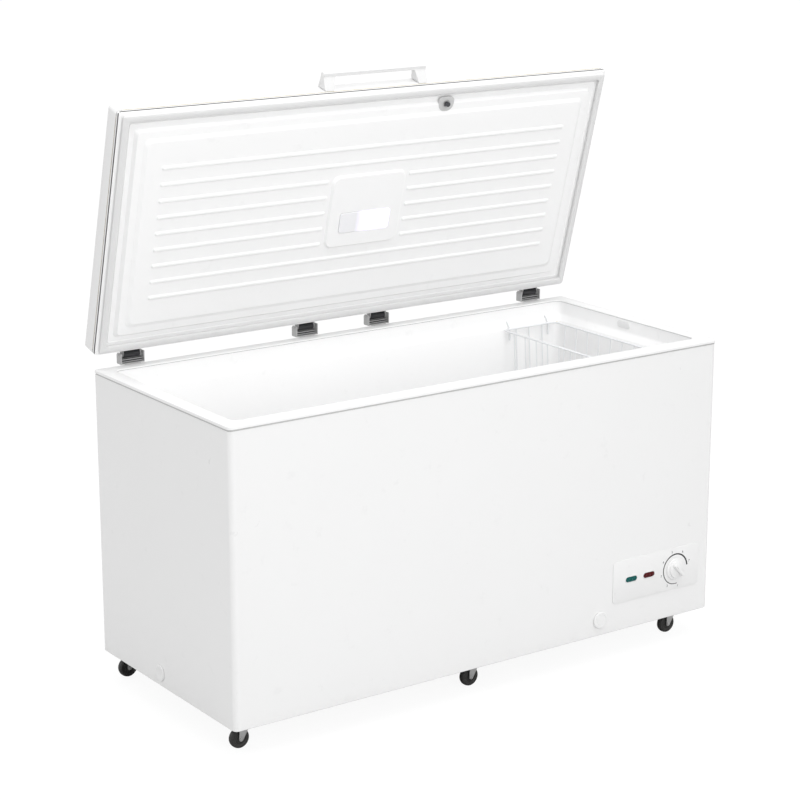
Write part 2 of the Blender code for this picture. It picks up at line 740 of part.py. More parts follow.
def hinge_leaf_mesh():
    """The lid's side of the hinge: a plate on the lid's back with two ears round the pin."""
    half = HINGE_LEAF_WIDTH / 2
    t = HINGE_SHEET
    front = -AXIS_TO_LID_BACK + GAP
    plate = box_mesh(-half, half, front, front + t, -0.0045, HINGE_LEAF_HIGH)
    outline = [(front, -0.0045), (0.0030, -0.0055), (0.0058, 0.0), (0.0030, 0.0058), (front, 0.018)]
    ears = [prism(outline, low_x, low_x + t) for low_x in (-half, half - t)]
    mesh = carve(plate, merged(ears), "UNION")
    return carve(mesh, rod(HINGE_PIN_RADIUS + RUNNING, -half - 0.01, half + 0.01, "X", 12))


def hinge_cover_mesh():
    """The black housing of the torsion spring, round the pin between the ears."""
    half = HINGE_LEAF_WIDTH / 2 - HINGE_SHEET - GAP
    r = HINGE_COVER_RADIUS
    bore = HINGE_PIN_RADIUS + RUNNING
    profile = [(bore, -half), (r, -half), (r, half), (bore, half)]
    return turned(profile, 12, "X")


def hinge_pin_mesh():
    half = HINGE_WIDTH / 2 + 0.001
    profile = [
        (0.0022, -half), (HINGE_PIN_RADIUS, -half + 0.001), (HINGE_PIN_RADIUS, half - 0.001), (0.0022, half)
    ]
    return turned(profile, 12, "X", False)


def hinges(steel, dark, lid_axis):
    base = hinge_base_mesh()
    leaf = hinge_leaf_mesh()
    cover = hinge_cover_mesh()
    pin = hinge_pin_mesh()
    for number, x in enumerate(HINGE_X, 1):
        place = (x, AXIS_Y, AXIS_Z)
        piece(f"hinge_base_{number}", base, steel, place)
        smooth(piece(f"hinge_pin_{number}", pin, steel, place))
        hang(piece(f"hinge_leaf_{number}", leaf, steel, place), lid_axis)
        hang(smooth(piece(f"hinge_spring_cover_{number}", cover, dark, place)), lid_axis)


# ---- lid, drawn shut


def lid_inset(by):
    return inset(LID_BOX, by)


def lid_outer_pan(look):
    """The painted pan: top sheet and four walls, open below."""
    low = LID_UNDER + PANEL_EDGE + LID_GROOVE
    r = LID_RADIUS
    soft = 0.004
    loops = [
        round_loop(lid_inset(SHEET), low, r - SHEET),
        round_loop(lid_inset(SHEET), LID_TOP - SHEET, r - SHEET),
    ]
    outer = [
        round_loop(lid_inset(0.0), low, r),
        round_loop(lid_inset(0.0), LID_TOP - soft, r),
        round_loop(lid_inset(soft * 0.3), LID_TOP - soft * 0.3, r - soft * 0.3),
        round_loop(lid_inset(soft), LID_TOP, r - soft),
    ]
    loops[1] = round_loop(lid_inset(SHEET), LID_TOP - soft, r - SHEET)
    loops.append(round_loop(lid_inset(soft), LID_TOP - SHEET, r - soft))
    return smooth(piece("lid_outer_pan", loft(loops[::-1] + outer), look), 30)


def panel_loops(lift):
    """Loops of the inner panel's moulded steps, lifted by a distance, from its edge inwards."""
    made = []
    for by, drop in PANEL_STEPS:
        made.append(round_loop(lid_inset(by), LID_UNDER - drop + lift, CABIN_RADIUS))
    return made


def lid_inner_panel(look):
    """The moulded inner panel: edge, stepped plug, ribs, lamp pad and lock boss."""
    edge = LID_GROOVE
    top = LID_UNDER + PANEL_EDGE
    r = LID_RADIUS
    wall = edge + PANEL_SHEET
    upper = panel_loops(PANEL_SHEET)[::-1]
    lower = panel_loops(0.0)
    rim = [
        round_loop(lid_inset(wall), LID_UNDER + PANEL_SHEET, r - wall),
        round_loop(lid_inset(wall), top, r - wall),
        round_loop(lid_inset(edge), top, r - edge),
        round_loop(lid_inset(edge), LID_UNDER, r - edge),
    ]
    mesh = loft(upper + rim + lower)
    mesh = carve(mesh, merged(panel_ribs()), "UNION")
    field = LID_UNDER - PANEL_STEPS[-1][1]
    middle_x, middle_y = lid_middle()
    wide, long, rise = LAMP_PAD
    pad_box = (middle_x - wide / 2, middle_x + wide / 2, middle_y - long / 2, middle_y + long / 2)
    pad = loft(
        [
            round_loop(pad_box, field + 0.001, 0.022),
            round_loop(inset(pad_box, 0.003), field - rise, 0.020),
        ]
    )
    mesh = carve(mesh, pad, "UNION")
    boss_low = LID_UNDER - GASKET_HEIGHT + 0.0005
    x, y = lock_place()
    boss = moved(rod(LOCK_BOSS_RADIUS, boss_low, LID_UNDER + BOSS_ROOT, "Z", 20), x, y)
    mesh = carve(mesh, boss, "UNION")
    bore = moved(rod(LOCK_SHAFT_RADIUS + RUNNING, boss_low - 0.01, LID_UNDER - 0.0015, "Z", 12), x, y)
    pocket = lens_mesh(GAP, field - rise - 0.01, field - rise + LAMP_LENS[2] - LAMP_PROUD + GAP)
    mesh = carve(mesh, merged([bore, pocket]))
    return piece("lid_inner_panel", mesh, look)


def lid_middle():
    return (LID_BOX[0] + LID_BOX[1]) / 2, (LID_BOX[2] + LID_BOX[3]) / 2


def panel_ribs():
    """Bars pressed across the panel; the middle ones stop either side of the lamp pad."""
    middle_x, middle_y = lid_middle()
    field = LID_UNDER - PANEL_STEPS[-1][1]
    break_half = LAMP_PAD[0] / 2 + 0.008
    bars = []
    for i in range(RIB_COUNT):
        y = middle_y + (i - (RIB_COUNT - 1) / 2) * RIB_PITCH
        ends = [(-RIB_LENGTH / 2, RIB_LENGTH / 2)]
        if abs(y - middle_y) < LAMP_PAD[1] / 2 + RIB_WIDTH:
            ends = [(-RIB_LENGTH / 2, -break_half), (break_half, RIB_LENGTH / 2)]
        for low, high in ends:
            bars.append(
                box_mesh(
                    middle_x + low, middle_x + high, y - RIB_WIDTH / 2,
                    y + RIB_WIDTH / 2, field - RIB_RISE, field + 0.001
                )
            )
    return bars


def lens_mesh(grow, low, high):
    middle_x, middle_y = lid_middle()
    wide, long, _ = LAMP_LENS
    y = middle_y + LAMP_DROP
    shape = (middle_x - wide / 2, middle_x + wide / 2, y - long / 2, y + long / 2)
    return loft([round_loop(inset(shape, -grow), z, 0.010 + grow) for z in (low, high)])


def lid_lamp(look):
    face = LID_UNDER - PANEL_STEPS[-1][1] - LAMP_PAD[2] - LAMP_PROUD
    return piece("lid_lamp", lens_mesh(0.0, face, face + LAMP_LENS[2]), look)


def lid_foam(look):
    """Foam filling the lid between the pan and the inner panel."""
    side = SHEET + GAP
    wall = LID_GROOVE + PANEL_SHEET + GAP
    shelf = LID_UNDER + PANEL_EDGE + GAP
    soft = 0.004 + GAP
    r = LID_RADIUS
    loops = [
        round_loop(lid_inset(soft + GAP), LID_TOP - SHEET - GAP, r - soft),
        round_loop(lid_inset(side), LID_TOP - soft - GAP, r - side),
        round_loop(lid_inset(side), shelf, r - side),
        round_loop(lid_inset(wall), shelf, r - wall),
        round_loop(lid_inset(wall), LID_UNDER + PANEL_SHEET + GAP, r - wall),
    ]
    for by, drop in PANEL_STEPS:
        z = LID_UNDER - drop + PANEL_SHEET + GAP
        loops.append(round_loop(lid_inset(by + GAP), z, CABIN_RADIUS))
    x, y = lock_place()
    boss = moved(rod(LOCK_BOSS_RADIUS + GAP, -0.05, BOSS_ROOT + GAP, "Z", 20), x, y, LID_UNDER)
    return piece("lid_foam", carve(loft(loops), boss), look)


def lid_gasket(look):
    """The magnetic seal's hollow section, as one solid ring on the inner panel."""
    out = GASKET_INSET
    inn = GASKET_INSET + GASKET_WIDTH
    top = LID_UNDER - GAP
    low = LID_UNDER - GASKET_HEIGHT + GAP
    middle = (top + low) / 2
    section = (
        (out + 0.002, top), (out, middle), (out + 0.003, low),
        (inn - 0.003, low), (inn, middle), (inn - 0.002, top)
    )
    loops = [round_loop(lid_inset(by), z, max(0.006, LID_RADIUS - by)) for by, z in section]
    return smooth(piece("lid_gasket", loft(loops, ring=True), look))


def lid_handle(look):
    """A pull bar on the lid's front face, carried by two wedge-shaped ends."""
    front = LID_BOX[2] - GAP
    far = front - HANDLE_REACH
    low = LID_UNDER + HANDLE_LOW
    high = LID_UNDER + HANDLE_HIGH
    bar_low = LID_UNDER + HANDLE_BAR_LOW
    bar_high = LID_UNDER + HANDLE_BAR_HIGH
    edge = 0.002
    outline = [(front, low), (front, high), (far + HANDLE_BAR, bar_high), (far + edge, bar_high)]
    outline += [
        (far, bar_high - edge), (far, bar_low + edge), (far + edge, bar_low), (far + HANDLE_BAR, bar_low)
    ]
    half = HANDLE_LENGTH / 2
    mesh = prism(outline, -half, half)
    room = HANDLE_END
    gap = box_mesh(-half + room, half - room, far + HANDLE_BAR, front + 0.01, low - 0.01, high + 0.01)
    return piece("lid_handle", carve(mesh, gap), look)


def lock_place():
    return LOCK_X, FRONT + LOCK_INSET


def lock_barrel(look):
    """The key barrel's lower end with the arm that turns under the front rim."""
    long, wide, thick = LOCK_ARM
    x, y = lock_place()
    arm_top = -GASKET_HEIGHT - RIM_PLATE - 0.001
    mesh = rod(LOCK_SHAFT_RADIUS, arm_top - thick, -0.0020, "Z", 12)
    arm = box_mesh(-long, 0.0, -wide / 2, wide / 2, arm_top - thick, arm_top)
    return smooth(piece("lock_barrel", carve(mesh, arm, "UNION"), look, (x, y, LID_UNDER)))


# ---- castors


def wheel_mesh():
    half = WHEEL_WIDTH / 2
    r = WHEEL_RADIUS
    bore = AXLE_RADIUS + RUNNING
    side = [(bore, half), (0.66 * r, 0.94 * half), (0.93 * r, 0.88 * half), (r, 0.55 * half)]
    profile = side + [(radius, -y) for radius, y in reversed(side)]
    return turned(profile, 20, "Y", True, pi / 2)


def fork_mesh():
    """A bent fork: two legs beside the wheel, a crown, and the stem it swivels on."""
    inner = WHEEL_WIDTH / 2 + FORK_SIDE_ROOM
    outer = inner + FORK_SHEET
    top = CASTOR_HEIGHT - FORK_TOP_ROOM
    crown = top - FORK_CROWN
    hub_z = WHEEL_RADIUS
    r = FORK_TIP_RADIUS
    outline = [(FORK_CROWN_RADIUS - 0.003, top), (FORK_CROWN_RADIUS - 0.003, crown - 0.004)]
    for step in range(6):
        angle = -0.25 * pi - 0.75 * pi * step / 5
        outline.append((-CASTOR_TRAIL + r * cos(angle), hub_z + r * sin(angle)))
    outline.append((-CASTOR_TRAIL - r, top))
    mesh = prism(outline, -outer, outer, "Y")
    slot = box_mesh(-0.1, 0.1, -inner, inner, -0.1, crown)
    stem = rod(STEM_RADIUS, top - 0.001, CASTOR_HEIGHT + STEM_LENGTH - GAP, "Z", 12)
    crown_disc = rod(FORK_CROWN_RADIUS, crown, top, "Z", 16)
    mesh = carve(mesh, slot)
    mesh = carve(mesh, crown_disc, "UNION")
    mesh = carve(mesh, stem, "UNION")
    hole = moved(rod(AXLE_RADIUS + RUNNING, -0.1, 0.1, "Y", 10), -CASTOR_TRAIL, 0.0, hub_z)
    return carve(mesh, hole)


def axle_mesh():
    half = WHEEL_WIDTH / 2 + FORK_SIDE_ROOM + FORK_SHEET + GAP
    r = AXLE_RADIUS
    head = 0.0045
    profile = [
        (head, -half - 0.0012), (head, -half), (r, -half), (r, half), (head, half), (head, half + 0.0012)
    ]
    return turned(profile, 10, "Y", False)


def castors(rubber, steel):
    wheel = wheel_mesh()
    fork = fork_mesh()
    axle = axle_mesh()
    for name, x, y in castor_places():
        swivel = empty(f"swivel_axis_{name}", (x, y, 0.0))
        hang(piece(f"castor_fork_{name}", fork, steel, (x, y, 0.0)), swivel)
        hub = (x - CASTOR_TRAIL, y, WHEEL_RADIUS)
        hang(smooth(piece(f"castor_axle_{name}", axle, steel, hub)), swivel)
        hang(smooth(piece(f"castor_wheel_{name}", wheel, rubber, hub)), swivel)


# ---- basket


def wire_basket(look):
    """The hanging basket, as thin walls, with four hooks that lie over the cabin's shoulder."""
    tub = inset(BAND_BOX, SHOULDER_STEP)
    right = tub[1] - BASKET_ROOM
    shape = (right - BASKET_WIDTH, right, tub[2] + BASKET_END_ROOM, tub[3] - BASKET_END_ROOM)
    top = SHOULDER_LOW - 0.002
    low = top - BASKET_HEIGHT
    taper = 0.012
    outer = [round_loop(shape, top, 0.010), round_loop(inset(shape, taper), low, 0.010)]
    inner = [
        round_loop(inset(shape, taper + BASKET_WALL), low + BASKET_WALL, 0.008),
        round_loop(inset(shape, BASKET_WALL), top, 0.008),
    ]
    mesh = loft(inner + outer)
    reach_in = 0.003
    band = inset(BAND_BOX, reach_in)
    arm = SHOULDER_TOP - reach_in * SHOULDER_HEIGHT / SHOULDER_STEP + 2 * GAP
    hooks = []
    for wall, out in ((shape[2], band[2]), (shape[3], band[3])):
        inside = wall - BASKET_WALL if wall < out else wall + BASKET_WALL
        outline = [
            (wall, top - 0.030), (inside, top - 0.030),
            (inside, arm + 0.003), (out, arm + 0.003), (out, arm), (wall, arm)
        ]
        for x in (shape[0] + 0.020, shape[1] - 0.026):
            hooks.append(prism(outline, x, x + 0.006))
    return piece("wire_basket", carve(mesh, merged(hooks), "UNION"), look)


def build():
    clear_scene()
    white_paint = finish("white_paint", (0.86, 0.87, 0.88), 0.35)
    white_plastic = finish("white_plastic", (0.84, 0.85, 0.86), 0.45)
    liner_white = finish("liner_white", (0.78, 0.79, 0.81), 0.40)
    foam = finish("foam", (0.88, 0.80, 0.58), 0.95)
    zinc = finish("zinc_steel", (0.62, 0.63, 0.64), 0.38, 0.9)
    copper = finish("copper_tube", (0.72, 0.45, 0.32), 0.35, 1.0)
    black_enamel = finish("black_enamel", (0.03, 0.03, 0.03), 0.30)
    black_plastic = finish("black_plastic", (0.04, 0.04, 0.04), 0.50)
    black_rubber = finish("black_rubber", (0.03, 0.03, 0.03), 0.75)
    gasket_white = finish("gasket_white", (0.80, 0.81, 0.83), 0.60)
    green_lens = finish("green_lens", (0.02, 0.38, 0.35), 0.20)
    red_lens = finish("red_lens", (0.42, 0.03, 0.03), 0.20)
    lamp_lens = finish("lamp_lens", (0.93, 0.93, 0.98), 0.25)
    wire_white = finish("wire_white", (0.88, 0.88, 0.89), 0.40)
    lock_grey = finish("lock_grey", (0.30, 0.30, 0.31), 0.35, 0.7)

    outer_shell(white_paint)
    rear_panel(zinc)
    base_pan(zinc)
    cabinet_foam(foam)
    inner_liner(liner_white)
    rim_frame(white_plastic)
    evaporator_coil(copper)
    condenser_coil(copper)
    compressor(black_enamel)
    bay_grille(zinc)
    control_panel(white_plastic)
    panel_lamp("power_lamp", LAMP_X[0], green_lens)
    panel_lamp("alarm_lamp", LAMP_X[1], red_lens)
    thermostat(white_plastic)
    thermostat_knob(white_plastic)
    drain_cap(white_plastic)
    side_port_cap(white_plastic)
    cable_gland(black_plastic)
    wire_basket(wire_white)
    castors(black_rubber, zinc)

    lid_axis = empty("lid_axis", (0.0, AXIS_Y, AXIS_Z))
    for made in (
        lid_outer_pan(white_paint),
        lid_foam(foam),
        lid_inner_panel(white_plastic),
        lid_gasket(gasket_white),
        lid_lamp(lamp_lens),
        lid_handle(white_plastic),
        lock_barrel(lock_grey),
    ):
        hang(made, lid_axis)
    hinges(zinc, black_plastic, lid_axis)
    lid_axis.rotation_euler = (-OPEN, 0.0, 0.0)
    bpy.context.view_layer.update()


build()
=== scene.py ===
"""Looks for the chest freezer: detailed surfaces, finishes, stage and camera, in the part's own frame."""

import json
from math import atan2, cos, pi, radians, sin

import bmesh
import bpy
import numpy as np
from bpy.props import FloatProperty, IntProperty, PointerProperty
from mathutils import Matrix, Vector


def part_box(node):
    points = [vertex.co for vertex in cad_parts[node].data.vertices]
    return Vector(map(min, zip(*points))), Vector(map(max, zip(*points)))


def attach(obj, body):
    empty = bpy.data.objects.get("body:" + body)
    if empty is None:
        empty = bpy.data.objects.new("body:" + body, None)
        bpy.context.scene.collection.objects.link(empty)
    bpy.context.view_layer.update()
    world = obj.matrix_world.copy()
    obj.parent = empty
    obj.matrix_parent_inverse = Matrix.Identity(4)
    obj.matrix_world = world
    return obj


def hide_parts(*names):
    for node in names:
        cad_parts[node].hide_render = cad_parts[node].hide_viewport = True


bl_info = {
    "name": "Chest freezer looks",
    "version": (1, 0, 0),
    "blender": (4, 5, 0),
    "location": "3D View > Sidebar > Freezer",
    "description": "Adds the freezer's detailed surfaces, finishes, stage and camera",
    "category": "Add Mesh",
}

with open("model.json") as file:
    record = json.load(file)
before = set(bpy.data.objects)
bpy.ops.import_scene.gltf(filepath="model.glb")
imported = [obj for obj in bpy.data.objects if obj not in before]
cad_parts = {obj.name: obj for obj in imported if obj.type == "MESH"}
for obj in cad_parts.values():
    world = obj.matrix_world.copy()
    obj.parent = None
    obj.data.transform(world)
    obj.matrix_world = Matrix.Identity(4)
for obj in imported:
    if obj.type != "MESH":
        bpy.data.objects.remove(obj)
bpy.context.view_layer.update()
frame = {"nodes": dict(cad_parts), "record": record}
JOINTS = {joint["name"]: joint for joint in frame["record"]["behaviour"]["joints"]}


def size(name, text, default, **more):
    return FloatProperty(name=name, description=text, default=default, unit="LENGTH", precision=4, **more)


class FreezerSizes(bpy.types.PropertyGroup):
    """Sizes that the solids' boxes don't give, with the lid shut."""

    rim_lip: size("Rim lip", "Height of the rim's outer lip", 0.0075)
    rim_side: size("Rim side", "Width of the rim's top at each side", 0.0345)
    rim_front: size("Rim front", "Width of the rim's top at the front", 0.041)
    rim_back: size("Rim back", "Width of the rim's top at the back", 0.033)
    corner: size("Corner", "Radius of the two front corners", 0.012)
    band: size("Band", "Depth of the cabin's upper band", 0.037)
    shoulder: size("Shoulder", "Height of the sloped shoulder", 0.016)
    step_in: size("Step in", "How far the shoulder runs inwards", 0.014)
    floor_foam: size("Floor foam", "Foam under the cabin's floor", 0.066)
    step_x: size("Step", "Left face of the raised floor", 0.3755)
    step_top: size("Step top", "Height of the raised floor", 0.3708)
    cabin_radius: size("Cabin radius", "Radius of the cabin's corners", 0.020)
    gasket: size("Gasket", "Rim to lid with the lid shut", 0.0105)
    lid_thick: size("Lid", "Thickness of the lid", 0.052)
    lid_radius: size("Lid radius", "Radius of the lid's corners", 0.010)
    panel_edge: size("Panel edge", "Height of the inner panel's edge", 0.0115)
    plug: size("Plug", "Height of the inner panel's raised field", 0.0128)
    rib_pitch: size("Rib pitch", "Distance from rib to rib", 0.0416)
    rib_length: size("Rib length", "Length of a whole rib", 1.182)
    rib_width: size("Rib width", "Width of a rib", 0.0095)
    rib_rise: size("Rib rise", "Height of a rib", 0.0030)
    rib_count: IntProperty(name="Ribs", description="Ribs pressed across the lid's inside", default=9)
    pad_wide: size("Pad width", "Width of the lamp's pad", 0.218)
    pad_long: size("Pad length", "Length of the lamp's pad", 0.193)
    pad_rise: size("Pad rise", "Height of the lamp's pad", 0.006)
    lens_wide: size("Lens width", "Width of the lamp's lens", 0.149)
    lens_long: size("Lens length", "Length of the lamp's lens", 0.054)
    lens_drop: size("Lens drop", "Lens from the pad's middle towards the hinges", 0.030)
    handle_end: size("Handle end", "Width of each end of the handle", 0.028)
    handle_bar: size("Handle bar", "Depth of the handle's bar", 0.010)
    wire: size("Wire", "Diameter of the basket's thin wires", 0.0030)
    rail: size("Rail", "Diameter of the basket's top wire", 0.0052)
    wire_pitch: size("Wire pitch", "Distance between the basket's wires", 0.0455)
    trail: size("Trail", "Castor axle behind its swivel", 0.016)
    scale_radius: size("Scale radius", "Radius of the printed scale round the knob", 0.0395)


def sizes():
    return bpy.context.scene.freezer_sizes


def box_of(name):
    low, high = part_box(name)
    return np.array(low), np.array(high)


# ---- surfaces


class Shape:
    """Collects grids of points and turns them into one mesh."""

    def __init__(self):
        self.points = []
        self.faces = []
        self.count = 0

    def grid(self, rows, around=False, ring=False, caps=False, facing=None):
        """Rows of points joined by quads: around closes rows, ring joins last to first, caps fills ends."""
        rows = np.asarray(rows, float)
        high, wide = rows.shape[:2]
        index = np.arange(high * wide).reshape(high, wide)
        if ring:
            index = np.vstack([index, index[:1]])
        if around:
            index = np.hstack([index, index[:, :1]])
        quads = np.stack(
            [index[:-1, :-1], index[:-1, 1:], index[1:, 1:], index[1:, :-1]], -1
        ).reshape(-1, 4)
        flat = rows.reshape(-1, 3)
        if facing is not None:
            a, b, c = flat[quads[:, 0]], flat[quads[:, 1]], flat[quads[:, 2]]
            if np.cross(b - a, c - a).sum(0) @ np.array(facing) < 0:
                quads = quads[:, ::-1]
        made = [tuple(q) for q in (quads + self.count)]
        if caps:
            made.append(tuple(range(self.count, self.count + wide)))
            made.append(tuple(range(self.count + (high - 1) * wide, self.count + high * wide)))
        self.points.append(flat)
        self.faces += made
        self.count += len(flat)
        return self

    def piece(self, name, look, body, replaced=(), turn=None, soft=35, bevel=0.0, settle=True):
        """The collected grids as one object that rides on a body and stands for some nodes."""
        points = np.vstack(self.points)
        if turn is not None:
            points = turn(points)
        mesh = bpy.data.meshes.new(name)
        mesh.from_pydata(points.tolist(), [], [tuple(int(i) for i in f) for f in self.faces])
        if settle:
            work = bmesh.new()
            work.from_mesh(mesh)
            bmesh.ops.recalc_face_normals(work, faces=work.faces)
            work.to_mesh(mesh)
            work.free()
        mesh.shade_smooth()
        mesh.set_sharp_from_angle(angle=radians(soft))
        mesh.materials.append(look)
        made = bpy.data.objects.new(name, mesh)
        bpy.context.scene.collection.objects.link(made)
        if bevel:
            edge = made.modifiers.new("edge", "BEVEL")
            edge.width = bevel
            edge.segments = 2
            edge.limit_method = "ANGLE"
            edge.angle_limit = radians(40)
            edge.harden_normals = True
        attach(made, body)
        if replaced:
            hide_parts(*replaced)
        return made


def rounded(box, profile, radius, steps=10, back=None, least=0.0015):
    """Each (inset, height) as a rounded rectangle: corner centre plus radius times (cos, sin) of an angle."""
    x0, x1, y0, y1 = box
    rows = []
    for by, z in profile:
        sides, front, rear = by if isinstance(by, tuple) else (by, by, by)
        r = max(radius - max(sides, 0), least)
        rb = r if back is None else max(back - max(sides, 0), least)
        a0, a1, b0, b1 = x0 + sides, x1 - sides, y0 + front, y1 - rear
        turn = np.linspace(0, pi / 2, steps + 1)
        corners = (
            (a0 + r, b0 + r, r, pi), (a1 - r, b0 + r, r, 1.5 * pi),
            (a1 - rb, b1 - rb, rb, 0), (a0 + rb, b1 - rb, rb, pi / 2)
        )
        row = [
            np.stack(
                [cx + q * np.cos(turn + s), cy + q * np.sin(turn + s), np.full(steps + 1, z)], -1
            ) for cx,
            cy, q, s in corners
        ]
        rows.append(np.vstack(row))
    return np.array(rows)


def lathe(profile, centre, axis="Z", steps=48):
    """(radius, along) pairs turned about an axis through a centre."""
    profile = np.array(profile, float)
    turn = np.linspace(0, 2 * pi, steps, endpoint=False)
    a = profile[:, :1] * np.cos(turn)
    b = profile[:, :1] * np.sin(turn)
    along = np.repeat(profile[:, 1:2], steps, 1)
    order = {"X": (along, a, b), "Y": (a, along, b), "Z": (a, b, along)}[axis]
    return np.stack(order, -1) + np.array(centre)


def sweep(path, radius, closed=False, sides=8):
    """A round wire: at each point of the path a circle in the plane across its direction."""
    path = np.array(path, float)
    ahead = np.roll(path, -1, 0) - np.roll(path, 1, 0)
    if not closed:
        ahead[0] = path[1] - path[0]
        ahead[-1] = path[-1] - path[-2]
    ahead /= np.linalg.norm(ahead, axis=1)[:, None]
    side = np.zeros_like(path)
    last = np.array([0.31, 0.52, 0.79])
    for i, way in enumerate(ahead):
        last = last - way * (last @ way)
        last = last / np.linalg.norm(last)
        side[i] = last
    other = np.cross(ahead, side)
    turn = np.linspace(0, 2 * pi, sides, endpoint=False)
    return path[:, None] + radius * (
        side[:, None] * np.cos(turn)[:, None] + other[:, None] * np.sin(turn)[:, None]
    )


def bent(corners, radius, steps=5):
    """A path through corners, each rounded by a quadratic curve that starts one radius before it."""
    corners = [np.array(c, float) for c in corners]
    path = [corners[0]]
    for before, here, after in zip(corners, corners[1:], corners[2:]):
        start = here + (before - here) * min(0.45, radius / np.linalg.norm(before - here))
        end = here + (after - here) * min(0.45, radius / np.linalg.norm(after - here))
        for t in np.linspace(0, 1, steps):
            path.append((1 - t) ** 2 * start + 2 * t * (1 - t) * here + t**2 * end)
    path.append(corners[-1])
    return np.array(path)


def plate(outline, low, high, axis="Y"):
    """A flat outline of (x, z) or (y, z) points between two depths."""
    flat = np.array(outline, float)
    rows = []
    for depth in (low, high):
        fill = np.full(len(flat), depth)
        rows.append(
            np.stack([flat[:, 0], fill, flat[:, 1]] if axis == "Y" else [fill, flat[:, 0], flat[:, 1]], -1)
        )
    return np.array(rows)


def ease(t):
    t = np.clip(t, 0, 1)
    return t * t * (3 - 2 * t)


def inside(x, y, cx, cy, hx, hy, r):
    """Signed distance to a rounded rectangle, negative inside."""
    qx = np.abs(x - cx) - hx + r
    qy = np.abs(y - cy) - hy + r
    return np.hypot(np.maximum(qx, 0), np.maximum(qy, 0)) + np.minimum(np.maximum(qx, qy), 0) - r


# ---- finishes


class Value:
    """A shader socket that takes part in arithmetic."""

    def __init__(self, graph, socket):
        self.graph = graph
        self.socket = socket

    def maths(self, operation, *others):
        made = self.graph.node("ShaderNodeMath", {"operation": operation}, dict(enumerate((self, *others))))
        return Value(self.graph, made.outputs[0])

    def __add__(self, other):
        return self.maths("ADD", other)

    def __sub__(self, other):
        return self.maths("SUBTRACT", other)

    def __mul__(self, other):
        return self.maths("MULTIPLY", other)

    def __rsub__(self, other):
        return self * -1.0 + other

    __radd__ = __add__
    __rmul__ = __mul__

    def clamp(self, low=0.0, high=1.0):
        return self.maths("MAXIMUM", low).maths("MINIMUM", high)


class Graph:
    """A material's node tree, with its Principled shader."""

    def __init__(self, name):
        self.material = bpy.data.materials.new(name)
        self.material.use_nodes = True
        self.tree = self.material.node_tree
        self.shader = self.tree.nodes["Principled BSDF"]
        self.place = self.node("ShaderNodeTexCoord").outputs["Object"]

    def node(self, kind, settings=None, inputs=None):
        made = self.tree.nodes.new(kind)
        for key, value in (settings or {}).items():
            setattr(made, key, value)
        for key, value in (inputs or {}).items():
            self.join(made.inputs[key], value)
        return made

    def join(self, target, value):
        if isinstance(value, Value):
            value = value.socket
        if isinstance(value, bpy.types.NodeSocket):
            self.tree.links.new(value, target)
        else:
            target.default_value = value

    def noise(self, scale, stretch=None, detail=3.0, rough=0.55):
        place = self.place
        if stretch:
            place = self.node("ShaderNodeMapping", None, {"Vector": place, "Scale": stretch}).outputs[0]
        wanted = {"Vector": place, "Scale": scale, "Detail": detail, "Roughness": rough}
        return Value(self, self.node("ShaderNodeTexNoise", None, wanted).outputs["Fac"])

    def axis(self, index):
        return Value(self, self.node("ShaderNodeSeparateXYZ", None, {0: self.place}).outputs[index])

    def mix(self, factor, a, b):
        made = self.node("ShaderNodeMix", {"data_type": "RGBA"}, {0: factor, 6: a, 7: b})
        return made.outputs[2]

    def bump(self, height, distance, strength=0.5):
        made = self.node(
            "ShaderNodeBump", None, {"Strength": strength, "Distance": distance, "Height": height}
        )
        self.join(self.shader.inputs["Normal"], made.outputs[0])

    def set(self, **values):
        for key, value in values.items():
            self.join(self.shader.inputs[key.replace("_", " ")], value)


def tint(colour, by=1.0):
    return tuple(min(1.0, c * by) for c in colour) + (1.0,)


def surface(
    name, colour, rough, metallic=0.0, coat=0.0, grain=700.0,
    lift=0.0001, cloud=0.05, stretch=None, dust=0.0
):
    """A finish with cloudy tone, uneven gloss and a fine texture; dust gathers in patches near the floor."""
    g = Graph(name)
    broad = g.noise(3.5, None, 4.0)
    patch = g.noise(24.0, stretch, 5.0, 0.65)
    fine = g.noise(grain, stretch, 2.0)
    shade = g.mix(broad, tint(colour, 1 - cloud), tint(colour, 1 + cloud * 0.5))
    speck = (patch - 0.62) * 3.0
    shade = g.mix(speck.clamp(0.0, 0.35) * (0.4 + 2 * cloud), shade, tint(colour, 0.72))
    if dust:
        low = (0.10 - g.axis(2)) * 9.0
        shade = g.mix((low.clamp() * patch * dust * 1.6).clamp(), shade, (0.46, 0.43, 0.38, 1.0))
    g.join(g.shader.inputs["Base Color"], shade)
    g.set(
        Roughness=(broad * 0.06 + patch * 0.10 + (rough - 0.08)).clamp(0.03, 1.0),
        Metallic=metallic, Coat_Weight=coat
    )
    g.set(Coat_Roughness=0.12)
    g.bump(fine, lift)
    return g.material


def lit_lens(name):
    """A diffuser whose right-hand part is lit from behind by a violet-white strip."""
    g = Graph(name)
    x = g.axis(0)
    lit = ((x + 0.028) * 30.0).clamp()
    ribs = g.node(
        "ShaderNodeTexWave", {"bands_direction": "X"}, {"Vector": g.place, "Scale": 90.0, "Distortion": 0.3}
    )
    ribs = Value(g, ribs.outputs["Fac"])
    g.join(g.shader.inputs["Base Color"], g.mix(lit, (0.86, 0.86, 0.88, 1.0), (0.90, 0.88, 0.98, 1.0)))
    g.join(g.shader.inputs["Emission Color"], g.mix(lit, (0.0, 0.0, 0.0, 1.0), (0.72, 0.62, 1.0, 1.0)))
    g.set(Emission_Strength=0.55, Roughness=(0.22 + ribs * 0.08).clamp())
    g.bump(ribs, 0.0004, 0.4)
    return g.material


